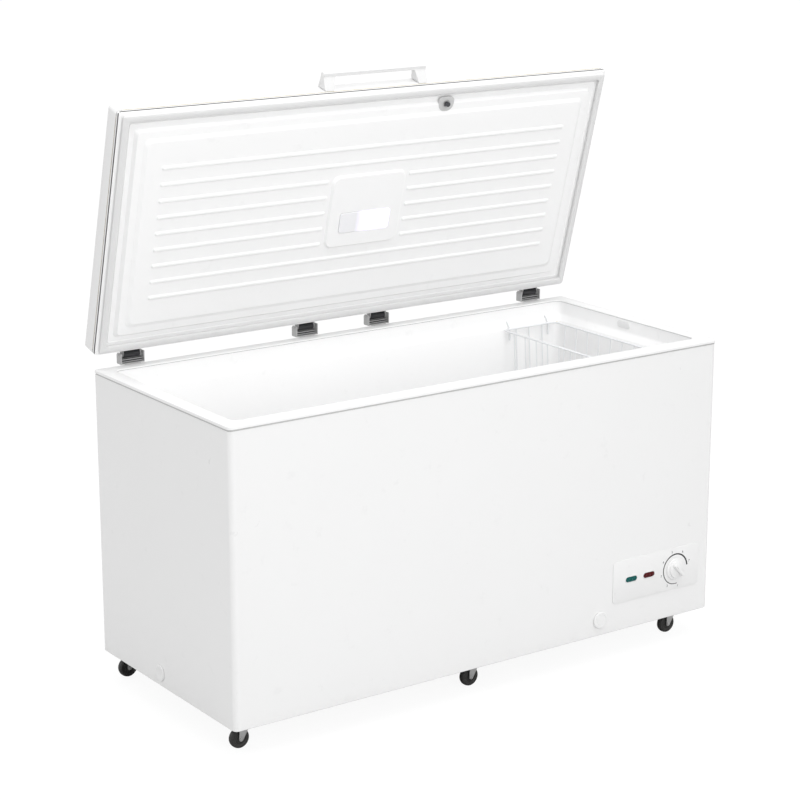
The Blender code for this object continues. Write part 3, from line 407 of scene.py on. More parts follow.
def tinted_lens(name, colour, glow):
    """A moulded coloured window over a small lamp."""
    g = Graph(name)
    cloud = g.noise(160.0)
    g.join(g.shader.inputs["Base Color"], g.mix(cloud, tint(colour, 0.8), tint(colour, 1.25)))
    g.join(g.shader.inputs["Emission Color"], g.mix(cloud, tint(colour, 0.6), tint(colour, 1.4)))
    g.set(Emission_Strength=glow, Specular_IOR_Level=0.25, Roughness=(0.20 + cloud * 0.14).clamp())
    g.bump(g.noise(500.0), 0.0001, 0.4)
    return g.material


def foam_look(name):
    """Cut rigid foam, with open cells."""
    g = Graph(name)
    cell = g.node("ShaderNodeTexVoronoi", None, {"Vector": g.place, "Scale": 420.0}).outputs["Distance"]
    cell = Value(g, cell)
    g.join(g.shader.inputs["Base Color"], g.mix(cell, (0.62, 0.52, 0.30, 1.0), (0.90, 0.82, 0.58, 1.0)))
    g.set(Roughness=(0.85 + cell * 0.1).clamp())
    g.bump(cell, 0.001, 0.7)
    return g.material


LOOKS = {}


def make_looks():
    """Every finish, by the name of the record's material slot or of a printed or lit detail."""
    LOOKS["white_paint"] = surface(
        "Enamel", (0.80,) * 3, 0.30, coat=0.35, grain=950.0, lift=0.00006, cloud=0.012, dust=0.12
    )
    LOOKS["white_plastic"] = surface(
        "Moulded white", (0.79,) * 3, 0.42, grain=1500.0, lift=0.00005, cloud=0.02
    )
    LOOKS["panel_white"] = surface(
        "Formed panel", (0.90,) * 3, 0.36, grain=1200.0, lift=0.00004, cloud=0.015
    )
    LOOKS["liner_white"] = surface(
        "Liner", (0.92,) * 3, 0.34, coat=0.2, grain=520.0, lift=0.0001, cloud=0.02
    )
    LOOKS["rim_white"] = surface("Rim", (0.82,) * 3, 0.40, grain=1300.0, lift=0.00005, cloud=0.02)
    LOOKS["gasket_white"] = surface("Seal", (0.72,) * 3, 0.55, grain=900.0, lift=0.00008, cloud=0.04)
    LOOKS["handle_grey"] = surface("Handle", (0.74,) * 3, 0.34, grain=1400.0, lift=0.00006, cloud=0.02)
    LOOKS["foam"] = foam_look("Foam")
    LOOKS["zinc_steel"] = surface(
        "Zinc", (0.48, 0.48, 0.48), 0.34, 0.8, grain=420.0, lift=0.0001, cloud=0.16, dust=0.1
    )
    LOOKS["back_zinc"] = surface(
        "Galvanised", (0.58, 0.59, 0.60), 0.42, 0.9, grain=60.0, lift=0.0001, cloud=0.16
    )
    LOOKS["copper_tube"] = surface("Copper", (0.72, 0.42, 0.28), 0.35, 1.0, grain=300.0, cloud=0.2)
    LOOKS["black_enamel"] = surface(
        "Black enamel", (0.02, 0.02, 0.022), 0.28, coat=0.3, grain=300.0, cloud=0.3
    )
    LOOKS["black_plastic"] = surface("Black plastic", (0.022, 0.022, 0.025), 0.45, grain=1100.0, cloud=0.2)
    LOOKS["black_rubber"] = surface(
        "Tyre rubber", (0.010, 0.010, 0.010), 0.50, grain=600.0, lift=0.0002, cloud=0.3, dust=0.04
    )
    LOOKS["wire_white"] = surface(
        "Dipped wire", (0.82, 0.83, 0.845), 0.32, coat=0.3, grain=600.0, cloud=0.04
    )
    LOOKS["lock_grey"] = surface("Plated key", (0.10, 0.10, 0.11), 0.32, 0.7, grain=700.0, cloud=0.3)
    LOOKS["boss_grey"] = surface("Lock housing", (0.56, 0.56, 0.56), 0.40, grain=1200.0, cloud=0.05)
    LOOKS["ink"] = surface("Printed ink", (0.02, 0.02, 0.022), 0.55, grain=1600.0, lift=0.00002, cloud=0.2)
    LOOKS["hinge_steel"] = surface("Hinge plate", (0.50, 0.50, 0.50), 0.36, 0.3, grain=500.0, cloud=0.15)
    # Grey rings in the gap under the rim's lip and at its inner edge: painted shade.
    LOOKS["rim_shadow"] = surface("Rim seam", (0.50,) * 3, 0.60, grain=900.0, cloud=0.1)
    # Grey ring in the groove round the lid's inner panel: painted shade.
    LOOKS["shadow_line"] = surface("Dark seam", (0.42, 0.42, 0.42), 0.70, grain=900.0, cloud=0.1)
    LOOKS["green_lens"] = tinted_lens("Green window", (0.001, 0.07, 0.065), 0.25)
    LOOKS["red_lens"] = tinted_lens("Red window", (0.06, 0.001, 0.002), 0.10)
    LOOKS["lamp_lens"] = lit_lens("Lit diffuser")


def cad_look(name, slot):
    """The finish of a solid that still shows."""
    if name in ("rear_panel", "base_pan"):
        return LOOKS["back_zinc"]
    if name.startswith(("hinge_base", "hinge_leaf")):
        return LOOKS["hinge_steel"]
    return LOOKS[slot]


# ---- places


def cabinet_box():
    """The painted cabinet's sides: low x, high x, low y, high y."""
    low, high = box_of("outer_shell")
    return low[0], high[0], low[1], high[1]


def lid_box():
    """The lid's sides when it is shut."""
    x0, x1, y0, y1 = cabinet_box()
    return x0 - 0.002, x1 + 0.002, y0 - 0.002, y1 - 0.002


def rim_top():
    return box_of("rim_frame")[1][2]


def lid_under():
    return rim_top() + sizes().gasket


def open_lid(points):
    """Points drawn with the lid shut, turned about the hinge axis to where the lid stands open."""
    joint = JOINTS["lid_hinge"]
    _, ay, az = joint["pos_m"]
    angle = radians(-joint["range_deg"][0])
    y = points[:, 1] - ay
    z = points[:, 2] - az
    moved = points.copy()
    moved[:, 1] = ay + y * cos(angle) + z * sin(angle)
    moved[:, 2] = az - y * sin(angle) + z * cos(angle)
    return moved


# ---- cabinet


def add_shell():
    """The painted wrapper's front and sides; its hidden back wall stands just inside the rear panel."""
    s = sizes()
    low, high = box_of("outer_shell")
    box = cabinet_box()
    soft = 0.0012
    behind = 0.0011
    edge = (soft, soft, behind)
    wall = (0.0, 0.0, behind)
    lip = (0.004, 0.004, behind)
    profile = [
        (edge, low[2]), (wall, low[2] + soft), (wall, high[2] - soft), (edge, high[2]), (lip, high[2])
    ]
    rows = rounded(box, profile, s.corner, 14, 0.002)
    sheet = (0.004, 0.004, behind + 0.0005)
    inner = rounded(box, [(sheet, high[2] - 0.004), (sheet, low[2] + 0.001)], s.corner, 14, 0.002)
    wrap = np.vstack([rows, inner])
    Shape().grid(wrap, around=True, ring=True).piece(
        "shell_skin", LOOKS["white_paint"], "cabinet", ["outer_shell"]
    )


def add_rim():
    """The moulded rim: one section carried round the cabinet's top, with seams outside and inside it."""
    s = sizes()
    low, high = box_of("rim_frame")
    top = high[2]
    lip = top - s.rim_lip
    box = (low[0], high[0], low[1], high[1])
    over = 0.002
    e = 0.0018
    side, front, back = s.rim_side + over, s.rim_front + over, s.rim_back
    inner = (side, front, back)
    profile = [((0.0, 0.0, 0.0), lip + e * 0.4), ((0.0, 0.0, 0.0), top - e)]
    for t in (0.3, 0.6, 1.0):
        by = e * (1 - cos(t * pi / 2))
        profile.append(((by, by, by), top - e + e * sin(t * pi / 2)))
    for t in (0.0, 0.4, 0.7, 1.0):
        by = e * (1 - sin(t * pi / 2))
        profile.append((tuple(v - by for v in inner), top - e + e * cos(t * pi / 2)))
    profile.append((inner, top - 0.003))
    profile.append(((0.006, 0.006, 0.006), top - 0.003))
    profile.append(((0.0033, 0.0033, 0.0033), lip - 0.004))
    profile.append(((0.0033, 0.0033, 0.0033), lip))
    profile.append(((e * 0.4,) * 3, lip))
    rows = []
    for by, z in profile:
        inward = by[0] > 0.02
        r = s.cabin_radius if inward else s.corner + over
        rows.append(
            rounded(
                box, [(by, z)], r + (by[0] if inward else 0),
                12, (s.cabin_radius + by[0]) if inward else 0.006
            )[0]
        )
    Shape().grid(rows, around=True, ring=True).piece(
        "rim_moulding", LOOKS["rim_white"], "cabinet", ["rim_frame"]
    )
    # Grey ring in the slot under the rim's lip: painted shade for the dark gap between rim and shell.
    painted_shadow_rows = rounded(
        box, [(0.0032, lip - 0.0038), (0.0026, lip - 0.0038), (0.0026, lip), (0.0032, lip)],
        s.corner, 12, 0.006
    )
    Shape().grid(painted_shadow_rows, around=True, ring=True).piece("rim_seam", LOOKS["rim_shadow"], "cabinet")
    # Grey ring where the rim's top meets the cabin's band: painted shade along that edge.
    rows = []
    for by, z in (
        (-0.0002, top - 0.0040), (0.0004, top - 0.0040), (0.0004, top - 0.0031), (-0.0002, top - 0.0031)
    ):
        rows.append(
            rounded(
                box, [(tuple(v - 0.0006 + by for v in inner), z)],
                s.cabin_radius + inner[0], 12, s.cabin_radius + inner[0]
            )[0]
        )
    Shape().grid(rows, around=True, ring=True).piece("rim_inner_seam", LOOKS["rim_shadow"], "cabinet")


def add_liner():
    """The cabin: one profile carried round from the band to the floor, and the raised floor."""
    s = sizes()
    x0, x1, y0, y1 = cabinet_box()
    top = rim_top()
    box = (
        x0 + s.rim_side - 0.001, x1 - s.rim_side + 0.001, y0 + s.rim_front - 0.006, y1 - s.rim_back + 0.001
    )
    floor = box_of("base_pan")[0][2] + s.floor_foam
    a = top - s.band
    b = a - s.shoulder
    w = s.step_in
    r = 0.012
    profile = [
        (-0.002, top - 0.0035), (0.0, top - 0.0035),
        (0.0, a + 0.004), (0.0006, a + 0.0012), (0.0025, a - 0.002)
    ]
    profile += [(w - 0.0025, b + 0.002), (w - 0.0006, b - 0.0012), (w, b - 0.004), (w, floor + r)]
    profile += [(w + r * (1 - cos(t)), floor + r - r * sin(t)) for t in np.linspace(0.3, pi / 2, 5)]
    rows = [
        rounded(box, [(by, z)], s.cabin_radius + by + max(0.0, by - w) * 0.3, 10)[0] for by, z in profile
    ]
    centre = rows[-1].mean(0)
    rows.append(np.repeat([centre], len(rows[-1]), 0))
    liner = Shape().grid(rows, around=True, facing=None)
    liner.piece("cabin_liner", LOOKS["liner_white"], "cabinet", ["inner_liner"], settle=False)
    mesh = bpy.data.objects["cabin_liner"].data
    wall = max(mesh.polygons, key=lambda p: p.area)
    if Vector((0, (y0 + y1) / 2, top - 0.3) - np.array(wall.center)).dot(wall.normal) < 0:
        mesh.flip_normals()
    step = (s.step_x, box[1] - w + 0.001, box[2] + w - 0.001, box[3] - w + 0.001)
    high = s.step_top
    e = 0.0012
    rows = [
        rounded(step, [(0.0, floor - 0.001)], 0.004, 3)[0], rounded(step, [(0.0, high - e)], 0.004, 3)[0]
    ]
    for t in (0.33, 0.66, 1.0):
        by = e * (1 - cos(t * pi / 2))
        rows.append(rounded(step, [((by, 0.0, 0.0), high - e + e * sin(t * pi / 2))], 0.004, 3)[0])
    Shape().grid(rows, around=True, caps=True).piece("cabin_step", LOOKS["liner_white"], "cabinet")
    y = y0 + 0.343 * (y1 - y0) / 0.67
    wall = box[1]
    slot = rounded(
        (y - 0.024, y + 0.024, top - 0.0275, top - 0.0085),
        [(0.0, 0.0), (0.0005, 0.0016), (0.003, 0.0022)], 0.0088, 8
    )
    rows = np.stack([wall - slot[..., 2], slot[..., 0], slot[..., 1]], -1)
    Shape().grid(rows, around=True, caps=True).piece("cabin_wall_plug", LOOKS["white_plastic"], "cabinet")


# ---- controls


def pill(x, z, wide, tall, depths, radius):
    """Stacked rounded rectangles facing the front: (inset, y) pairs."""
    rows = rounded(
        (x - wide / 2, x + wide / 2, z - tall / 2, z + tall / 2), depths, radius, 8, least=0.0004
    )
    return np.stack([rows[..., 0], rows[..., 2], rows[..., 1]], -1)


def add_controls():
    """The control plate, lenses and caps, as stacked rounded outlines facing the front."""
    low, high = box_of("control_panel")
    x, z = (low[0] + high[0]) / 2, (low[2] + high[2]) / 2
    wide, tall = high[0] - low[0], high[2] - low[2]
    face = low[1]
    depths = [(0.0, high[1]), (0.0, face + 0.0007), (0.0003, face + 0.0002), (0.0009, face)]
    Shape().grid(pill(x, z, wide, tall, depths, 0.011), around=True, caps=True).piece(
        "control_plate", LOOKS["white_plastic"], "cabinet", ["control_panel"]
    )
    for name, look in (("power_lamp", "green_lens"), ("alarm_lamp", "red_lens")):
        a, b = box_of(name)
        x, z = (a[0] + b[0]) / 2, (a[2] + b[2]) / 2
        wide, tall = b[0] - a[0], b[2] - a[2]
        frame_rows = pill(
            x, z, wide + 0.005, tall + 0.005,
            [(0.0, face), (0.0004, face - 0.0009), (0.0014, face - 0.0012), (0.0024, face - 0.0002)], 0.009
        )
        Shape().grid(frame_rows, around=True).piece(
            name + "_bezel", LOOKS["handle_grey"], "cabinet", settle=True
        )
        lens = pill(
            x, z, wide, tall,
            [
                (0.0, face + 0.002), (0.0, face - 0.0006), (0.0012, face - 0.0013),
                (0.0040, face - 0.0018), (0.0062, face - 0.0019),
            ],
            tall / 2
        )
        Shape().grid(lens, around=True, caps=True).piece(name + "_window", LOOKS[look], "cabinet", [name])
    add_knob()
    add_scale(face)
    low, high = box_of("drain_cap")
    c = (low + high) / 2
    r = (high[0] - low[0]) / 2
    out = low[1]
    profile = [
        (r - 0.001, high[1] - 0.0182), (r, high[1] - 0.0190),
        (r, out + 0.0016), (r - 0.0010, out + 0.0004), (r - 0.0030, out)
    ]
    profile += [
        (r - 0.0060, out), (r - 0.0068, out + 0.0006),
        (r - 0.0085, out + 0.0006), (r - 0.0093, out), (0.0006, out - 0.0)
    ]
    shape = Shape().grid(lathe(profile, (c[0], 0, c[2]), "Y"), around=True, caps=True)
    shape.grid(
        lathe([(0.0085, high[1]), (0.0085, high[1] - 0.018)], (c[0], 0, c[2]), "Y", 24),
        around=True, caps=True
    )
    shape.piece("drain_cap_moulding", LOOKS["white_plastic"], "drain_plug", ["drain_cap"])
    low, high = box_of("side_port_cap")
    c = (low + high) / 2
    r = (high[1] - low[1]) / 2
    out = low[0]
    profile = [
        (r - 0.0006, x0_side() - 0.0003), (r, out + 0.0016), (r - 0.0008, out + 0.0005),
        (r - 0.0026, out), (r - 0.0052, out + 0.0007), (0.0006, out + 0.0009)
    ]
    Shape().grid(lathe(profile, (0, c[1], c[2]), "X"), around=True, caps=True).piece(
        "side_port_moulding", LOOKS["white_plastic"], "cabinet", ["side_port_cap"]
    )


def x0_side():
    return cabinet_box()[0]


def slanted(rows, centre, degrees=42):
    """Points turned about the knob's axis to the setting it is left at."""
    a = radians(degrees)
    x, z = rows[..., 0] - centre[0], rows[..., 2] - centre[2]
    return np.stack(
        [centre[0] + x * cos(a) - z * sin(a), rows[..., 1], centre[2] + x * sin(a) + z * cos(a)], -1
    )


def add_knob():
    """A skirted round knob with a finger bar across it and a pointer line."""
    low, high = box_of("thermostat_knob")
    c = (low + high) / 2
    r = (high[0] - low[0]) / 2
    out, base = low[1], high[1]
    body = [
        (r, base), (r, base - 0.0016), (r - 0.0006, base - 0.0026),
        (r - 0.0022, base - 0.0034), (r * 0.80, base - 0.0040)
    ]
    body += [
        (r * 0.775, base - 0.0056), (r * 0.755, base - 0.0088),
        (r * 0.70, base - 0.0098), (0.0008, base - 0.0100)
    ]
    shape = Shape().grid(lathe(body, (c[0], 0, c[2]), "Y", 64), around=True, caps=True)
    bar = pill(
        c[0], c[2], 0.0098, 0.0440,
        [(0.0, base - 0.006), (0.0006, out + 0.0022), (0.0012, out + 0.0006), (0.0026, out)], 0.0046
    )
    shape.grid(slanted(bar, c), around=True, caps=True)
    shape.piece("knob_moulding", LOOKS["white_plastic"], "knob", ["thermostat_knob"])
    line = pill(c[0], c[2] + 0.0135, 0.0014, 0.0130, [(0.0, out + 0.0002), (0.0, out - 0.0001)], 0.0006)
    Shape().grid(slanted(line, c), around=True, caps=True).piece("knob_pointer", LOOKS["boss_grey"], "knob")


def add_scale(face):
    """A printed arc that widens from the lowest setting to the highest, and its numerals."""
    low, high = box_of("thermostat_knob")
    c = (low + high) / 2
    r = sizes().scale_radius
    turn = np.linspace(radians(280), radians(6), 72)
    share = np.linspace(0, 1, 72)
    half = 0.0009 + 0.0012 * share
    y = np.full(72, face - 0.0001)
    rows = [
        np.stack(
            [c[0] + (r + k * half) * np.cos(turn), y, c[2] + (r + k * half) * np.sin(turn)], -1
        ) for k in (-1, 1)
    ]
    Shape().grid(rows, facing=(0, -1, 0)).piece("scale_arc", LOOKS["ink"], "cabinet", settle=False)
    for number in range(1, 8):
        angle = radians(282 - 266 * (number - 1) / 6)
        letters = bpy.data.curves.new(f"numeral_{number}", "FONT")
        letters.body = str(number)
        letters.size = 0.0090
        letters.align_x = "CENTER"
        letters.align_y = "CENTER"
        holder = bpy.data.objects.new(f"numeral_curve_{number}", letters)
        bpy.context.scene.collection.objects.link(holder)
        bpy.context.view_layer.update()
        mesh = bpy.data.meshes.new_from_object(holder)
        bpy.data.objects.remove(holder, do_unlink=True)
        points = np.empty(len(mesh.vertices) * 3)
        mesh.vertices.foreach_get("co", points)
        points = points.reshape(-1, 3)
        at = (c[0] + (r + 0.0085) * cos(angle), c[2] + (r + 0.0085) * sin(angle))
        points = np.stack(
            [points[:, 0] + at[0], np.full(len(points), face - 0.0001), points[:, 1] + at[1]], -1
        )
        mesh.vertices.foreach_set("co", points.ravel())
        mesh.materials.append(LOOKS["ink"])
        made = bpy.data.objects.new(f"numeral_{number}", mesh)
        bpy.context.scene.collection.objects.link(made)
        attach(made, "cabinet")


# ---- lid


def add_lid_pan():
    """The painted outer pan: rounded rectangles from its lip up over its edge, closed across the top."""
    s = sizes()
    top = lid_under() + s.lid_thick
    low = lid_under() + s.panel_edge + 0.0015
    r = 0.005
    profile = [(0.0009, low), (0.0002, low + 0.0002), (0.0, low + 0.0008), (0.0, top - r)]
    profile += [(r * (1 - cos(t)), top - r + r * sin(t)) for t in np.linspace(0.2, pi / 2, 7)]
    rows = rounded(lid_box(), profile, s.lid_radius, 12)
    inner = rounded(lid_box(), [(r, top - 0.0009), (0.0009, top - r), (0.0009, low)][:2], s.lid_radius, 12)
    middle = np.repeat([rows[-1].mean(0)], rows.shape[1], 0)
    Shape().grid(np.vstack([inner[1:2], rows, [middle]]), around=True, facing=None).piece(
        "lid_pan_skin", LOOKS["white_paint"], "lid", ["lid_outer_pan"], turn=open_lid
    )


def spread(start, end, pitch, edges, reach=0.004):
    """Grid lines: an even spacing, with more lines close to each edge."""
    lines = [np.arange(start, end, pitch), [end]]
    for edge in edges:
        lines.append(edge + np.linspace(-reach, reach, 9))
    lines = np.unique(np.round(np.clip(np.concatenate(lines), start, end), 5))
    return lines


def add_lid_panel():
    """The inner panel: rings for its edge and plug, and a height over (x, y) for ribs and pad."""
    s = sizes()
    box = lid_box()
    flat = lid_under()
    field = flat - s.plug
    profile = [
        (0.0045, flat + s.panel_edge), (0.0015, flat + s.panel_edge),
        (0.0015, flat + 0.002), (0.0021, flat + 0.0006), (0.0035, flat)
    ]
    profile += [(0.0300, flat), (0.0310, flat - 0.0012), (0.0325, flat - 0.0012), (0.0335, flat)]
    profile += [(0.043, flat)]
    turns = [0.006] * len(profile)
    for start, end, a, b, r in ((0.0440, 0.0520, 0.0, 0.62, 0.010), (0.0680, 0.0790, 0.62, 1.0, 0.015)):
        for t in (0.0, 0.08, 0.2, 0.5, 0.8, 0.92, 1.0):
            drop = a + (b - a) * min(1.0, max(0.0, (t - 0.06) / 0.88 + 0.06 * sin(2 * pi * t) * -0.5))
            profile.append((start + (end - start) * t, flat - s.plug * drop))
            turns.append(r)
    profile.append((0.090, field))
    rows = [rounded(box, [(by, z)], by + r, 10)[0] for (by, z), r in zip(profile[:-1], turns)]
    rows.append(rounded(box, [profile[-1]], 0.0, 10, least=0.00005)[0])
    shape = Shape().grid(rows, around=True)
    mx, my = (box[0] + box[1]) / 2, (box[2] + box[3]) / 2
    ys = [my + (i - (s.rib_count - 1) / 2) * s.rib_pitch for i in range(s.rib_count)]
    gap = s.pad_wide / 2 + 0.010
    lens_y = my + s.lens_drop
    x_edges = [
        mx + k * v for k in (-1, 1) for v in (s.rib_length / 2, gap, s.pad_wide / 2, s.lens_wide / 2)
    ]
    y_edges = [y + k * s.rib_width / 2 for y in ys for k in (-1, 1)]
    y_edges += [
        my - s.pad_long / 2, my + s.pad_long / 2, lens_y - s.lens_long / 2, lens_y + s.lens_long / 2
    ]
    xs = spread(box[0] + 0.090, box[1] - 0.090, 0.012, x_edges)
    near = np.arange(mx - gap, mx + gap, 0.003)
    xs = np.unique(np.round(np.concatenate([xs, near]), 5))
    lines = spread(box[2] + 0.090, box[3] - 0.090, 0.006, y_edges, 0.0035)
    x, y = np.meshgrid(xs, lines)
    height = np.zeros_like(x)
    for rib in ys:
        runs = [(mx, s.rib_length / 2)]
        if abs(rib - my) < s.pad_long / 2 + s.rib_width:
            half = (s.rib_length / 2 - gap) / 2
            runs = [(mx - gap - half, half), (mx + gap + half, half)]
        for centre, half in runs:
            away = inside(x, y, centre, rib, half, s.rib_width / 2, s.rib_width / 2 - 0.0005)
            height = np.maximum(height, s.rib_rise * ease((0.0015 - away) / 0.0045))
    pad = inside(x, y, mx, my, s.pad_wide / 2, s.pad_long / 2, 0.022)
    height = np.maximum(height, s.pad_rise * ease((0.0008 - pad) / 0.0052))
    lens = inside(x, y, mx, lens_y, s.lens_wide / 2, s.lens_long / 2, 0.008)
    height = height - 0.0022 * ease((0.0012 - lens) / 0.0016)
    shape.grid(np.stack([x, y, field - height], -1), facing=(0, 0, -1))
    made = shape.piece(
        "lid_panel_formed", LOOKS["panel_white"], "lid",
        ["lid_inner_panel"], turn=open_lid, soft=30, settle=False
    )
    fix_facing(made, (0, 0, -1))
    face = field - s.pad_rise
    rows = [
        rounded(
            (mx - s.lens_wide / 2, mx + s.lens_wide / 2, lens_y - s.lens_long / 2, lens_y + s.lens_long / 2),
            [(by, face + up)], 0.008, 8
        )[0] for by,
        up in ((0.0006, 0.003), (0.0006, -0.0006), (0.0016, -0.0014), (0.005, -0.0015))
    ]
    Shape().grid(rows, around=True, caps=True).piece(
        "lid_lamp_window", LOOKS["lamp_lens"], "lid", ["lid_lamp"], turn=open_lid
    )


def fix_facing(made, closed_way):
    """Turns round the faces of the ring rows if they look away from the cabin."""
    way = np.array([closed_way]) + np.array([JOINTS["lid_hinge"]["pos_m"]])
    way = open_lid(way)[0] - np.array(JOINTS["lid_hinge"]["pos_m"])
    work = bmesh.new()
    work.from_mesh(made.data)
    wrong = [f for f in work.faces if f.normal.dot(Vector(way)) < -0.15]
    if wrong:
        bmesh.ops.reverse_faces(work, faces=wrong)
    work.to_mesh(made.data)
    work.free()


def add_gasket():
    """The seal: a bellows section carried round the lid's edge."""
    s = sizes()
    flat = lid_under()
    out, inn = 0.009, 0.025
    depth = s.gasket - 0.0006
    mid = (out + inn) / 2
    section = [
        (out + 0.003, 0.0003), (out + 0.0005, 0.18), (out, 0.34),
        (out + 0.0018, 0.50), (out, 0.66), (out + 0.0006, 0.88)
    ]
    section += [
        (out + 0.003, 1.0), (mid, 1.0), (inn - 0.003, 1.0), (inn - 0.0006, 0.88),
        (inn, 0.66), (inn - 0.0018, 0.50), (inn, 0.34), (inn - 0.0005, 0.18), (inn - 0.003, 0.0003)
    ]
    rows = [rounded(lid_box(), [(by, flat - 0.0003 - depth * t)], by + 0.006, 10)[0] for by, t in section]
    Shape().grid(rows, around=True, ring=True).piece(
        "lid_seal", LOOKS["gasket_white"], "lid", ["lid_gasket"], turn=open_lid
    )
    # Grey ring in the groove between the pan and the inner panel: painted shade in that groove.
    painted_shadow_rows = [
        rounded(lid_box(), [(by, flat + s.panel_edge + z)], s.lid_radius, 10)[0] for by,
        z in ((0.004, -0.0001), (0.0011, -0.0001), (0.0011, 0.0016), (0.004, 0.0016))
    ]
    Shape().grid(painted_shadow_rows, around=True, ring=True).piece("lid_seam", LOOKS["shadow_line"], "lid", turn=open_lid)


def add_handle():
    """The handle: one rounded section carried along it, running back to the lid at both ends."""
    s = sizes()
    front = lid_box()[2] - 0.0003
    far = front - 0.040
    base = lid_under()
    low, high = base + 0.012, base + 0.048
    bar_low, bar_high = base + 0.029, base + 0.042
    half = 0.1495
    end = s.handle_end
    xs = np.concatenate(
        [
            [-half, -half + 0.0006, -half + 0.002, -half + 0.005],
            np.linspace(-half + 0.010, -half + end + 0.012, 22),
        ]
    )
    xs = np.concatenate([xs, np.linspace(-half + end + 0.03, 0, 5)])
    xs = np.unique(np.round(np.concatenate([xs, -xs]), 6))
    rows = []
    for x in xs:
        solid = float(ease((abs(x) - (half - end - 0.006)) / 0.010))
        inner = far + s.handle_bar
        root = inner + (front - inner) * solid + 0.0004
        root_low = bar_low + (low - bar_low) * solid
        root_high = bar_high + (high - bar_high) * solid
        edge = min(half - abs(x), 0.003)
        trim = 0.0022 * (1 - (1 - (1 - edge / 0.003) ** 2) ** 0.5)
        outline = [
            (root, root_low), (root, root_high), (inner, bar_high),
            (far + 0.002, bar_high), (far, bar_high - 0.002)
        ]
        outline += [(far, bar_low + 0.002), (far + 0.002, bar_low), (inner, bar_low)]
        flat = np.array(outline)
        path = np.vstack([flat, flat[:1]])
        smooth = []
        for i in range(len(flat)):
            a, b, c = path[i - 1] if i else flat[-1], flat[i], path[i + 1]
            for t in (0.12, 0.04):
                smooth.append(b + (a - b) * t)
            smooth.append(b * 0.94 + (a + c) * 0.03)
            for t in (0.04, 0.12):
                smooth.append(b + (c - b) * t)
        flat = np.array(smooth)
        centre = flat.mean(0)
        flat = centre + (flat - centre) * (1 - trim / 0.02)
        flat[:, 0] = np.minimum(flat[:, 0], front)
        rows.append(np.stack([np.full(len(flat), x), flat[:, 0], flat[:, 1]], -1))
    Shape().grid(rows, around=True, caps=True).piece(
        "handle_moulding", LOOKS["handle_grey"], "lid", ["lid_handle"], turn=open_lid, soft=50
    )


def add_lock():
    """A grey half-round housing at the panel's edge, with the keyed barrel through it."""
    flat = lid_under()
    x = 0.2025
    y = cabinet_box()[2] + 0.048
    turn = np.linspace(0, 2 * pi, 56, endpoint=False)
    shape_x = 0.0232 * np.sign(np.cos(turn)) * np.abs(np.cos(turn)) ** 0.8
    shape_y = np.where(
        np.sin(turn) < 0,
        0.0175 * np.sign(np.sin(turn)) * np.abs(np.sin(turn)) ** 0.45, 0.0205 * np.sin(turn)
    )
    rows = []
    for share, z in (
        (1.0, flat - 0.002), (1.0, flat - 0.0077),
        (0.97, flat - 0.0085), (0.92, flat - 0.0088), (0.40, flat - 0.0088)
    ):
        rows.append(np.stack([x + shape_x * share, y + shape_y * share, np.full(56, z)], -1))
    Shape().grid(rows, around=True, caps=True).piece(
        "lock_housing", LOOKS["boss_grey"], "lid", turn=open_lid
    )
    ring = lathe(
        [(0.0072, -0.0087), (0.0100, -0.0087), (0.0096, -0.0098), (0.0074, -0.0100)], (x, y, flat), "Z", 32
    )
    Shape().grid(ring, around=True, ring=True).piece(
        "lock_collar", LOOKS["zinc_steel"], "lid", turn=open_lid
    )


# ---- hinges, basket, castors


def screw(centre, axis, out, radius=0.0032):
    """A domed screw head whose flat side is at the centre."""
    r = radius
    profile = [
        (r, 0.0), (r, 0.0004 * out), (0.86 * r, 0.0011 * out),
        (0.55 * r, 0.0016 * out), (0.0003, 0.0018 * out)
    ]
    return lathe(profile, centre, axis, 20)


def add_hinges():
    """What each hinge shows: screws on its plates, a block over its spring and two rods beside it."""
    for number in range(1, 5):
        low, high = box_of(f"hinge_base_{number}")
        x = (low[0] + high[0]) / 2
        back = cabinet_box()[3] + 0.0028
        shape = Shape()
        for dz in (0.018, 0.040, 0.060):
            for side in (-1, 1):
                shape.grid(screw((x + side * 0.013, back, low[2] + dz), "Y", 1), around=True, caps=True)
        shape.piece(f"hinge_screws_{number}", LOOKS["zinc_steel"], "cabinet")
        _, ay, az = JOINTS["lid_hinge"]["pos_m"]
        block = Shape()
        rows = rounded(
            (x - 0.0285, x + 0.0285, ay - 0.0060, ay + 0.0095),
            [(0.0, az - 0.0196), (0.0, az - 0.0102)], 0.0015, 4
        )
        block.grid(rows, around=True, caps=True).piece(
            f"hinge_block_{number}", LOOKS["black_plastic"], "cabinet", bevel=0.0004
        )
        bars = Shape()
        for dz in (-0.0118, -0.0172):
            bars.grid(
                sweep([(x - 0.029, ay - 0.0072, az + dz), (x + 0.029, ay - 0.0072, az + dz)], 0.0014),
                around=True, caps=True
            )
        bars.piece(f"hinge_rods_{number}", LOOKS["zinc_steel"], "cabinet")
        cover = frame["nodes"][f"hinge_spring_cover_{number}"]
        edge = cover.modifiers.new("edge", "BEVEL")
        edge.width = 0.0006
        edge.segments = 2
        edge.limit_method = "ANGLE"


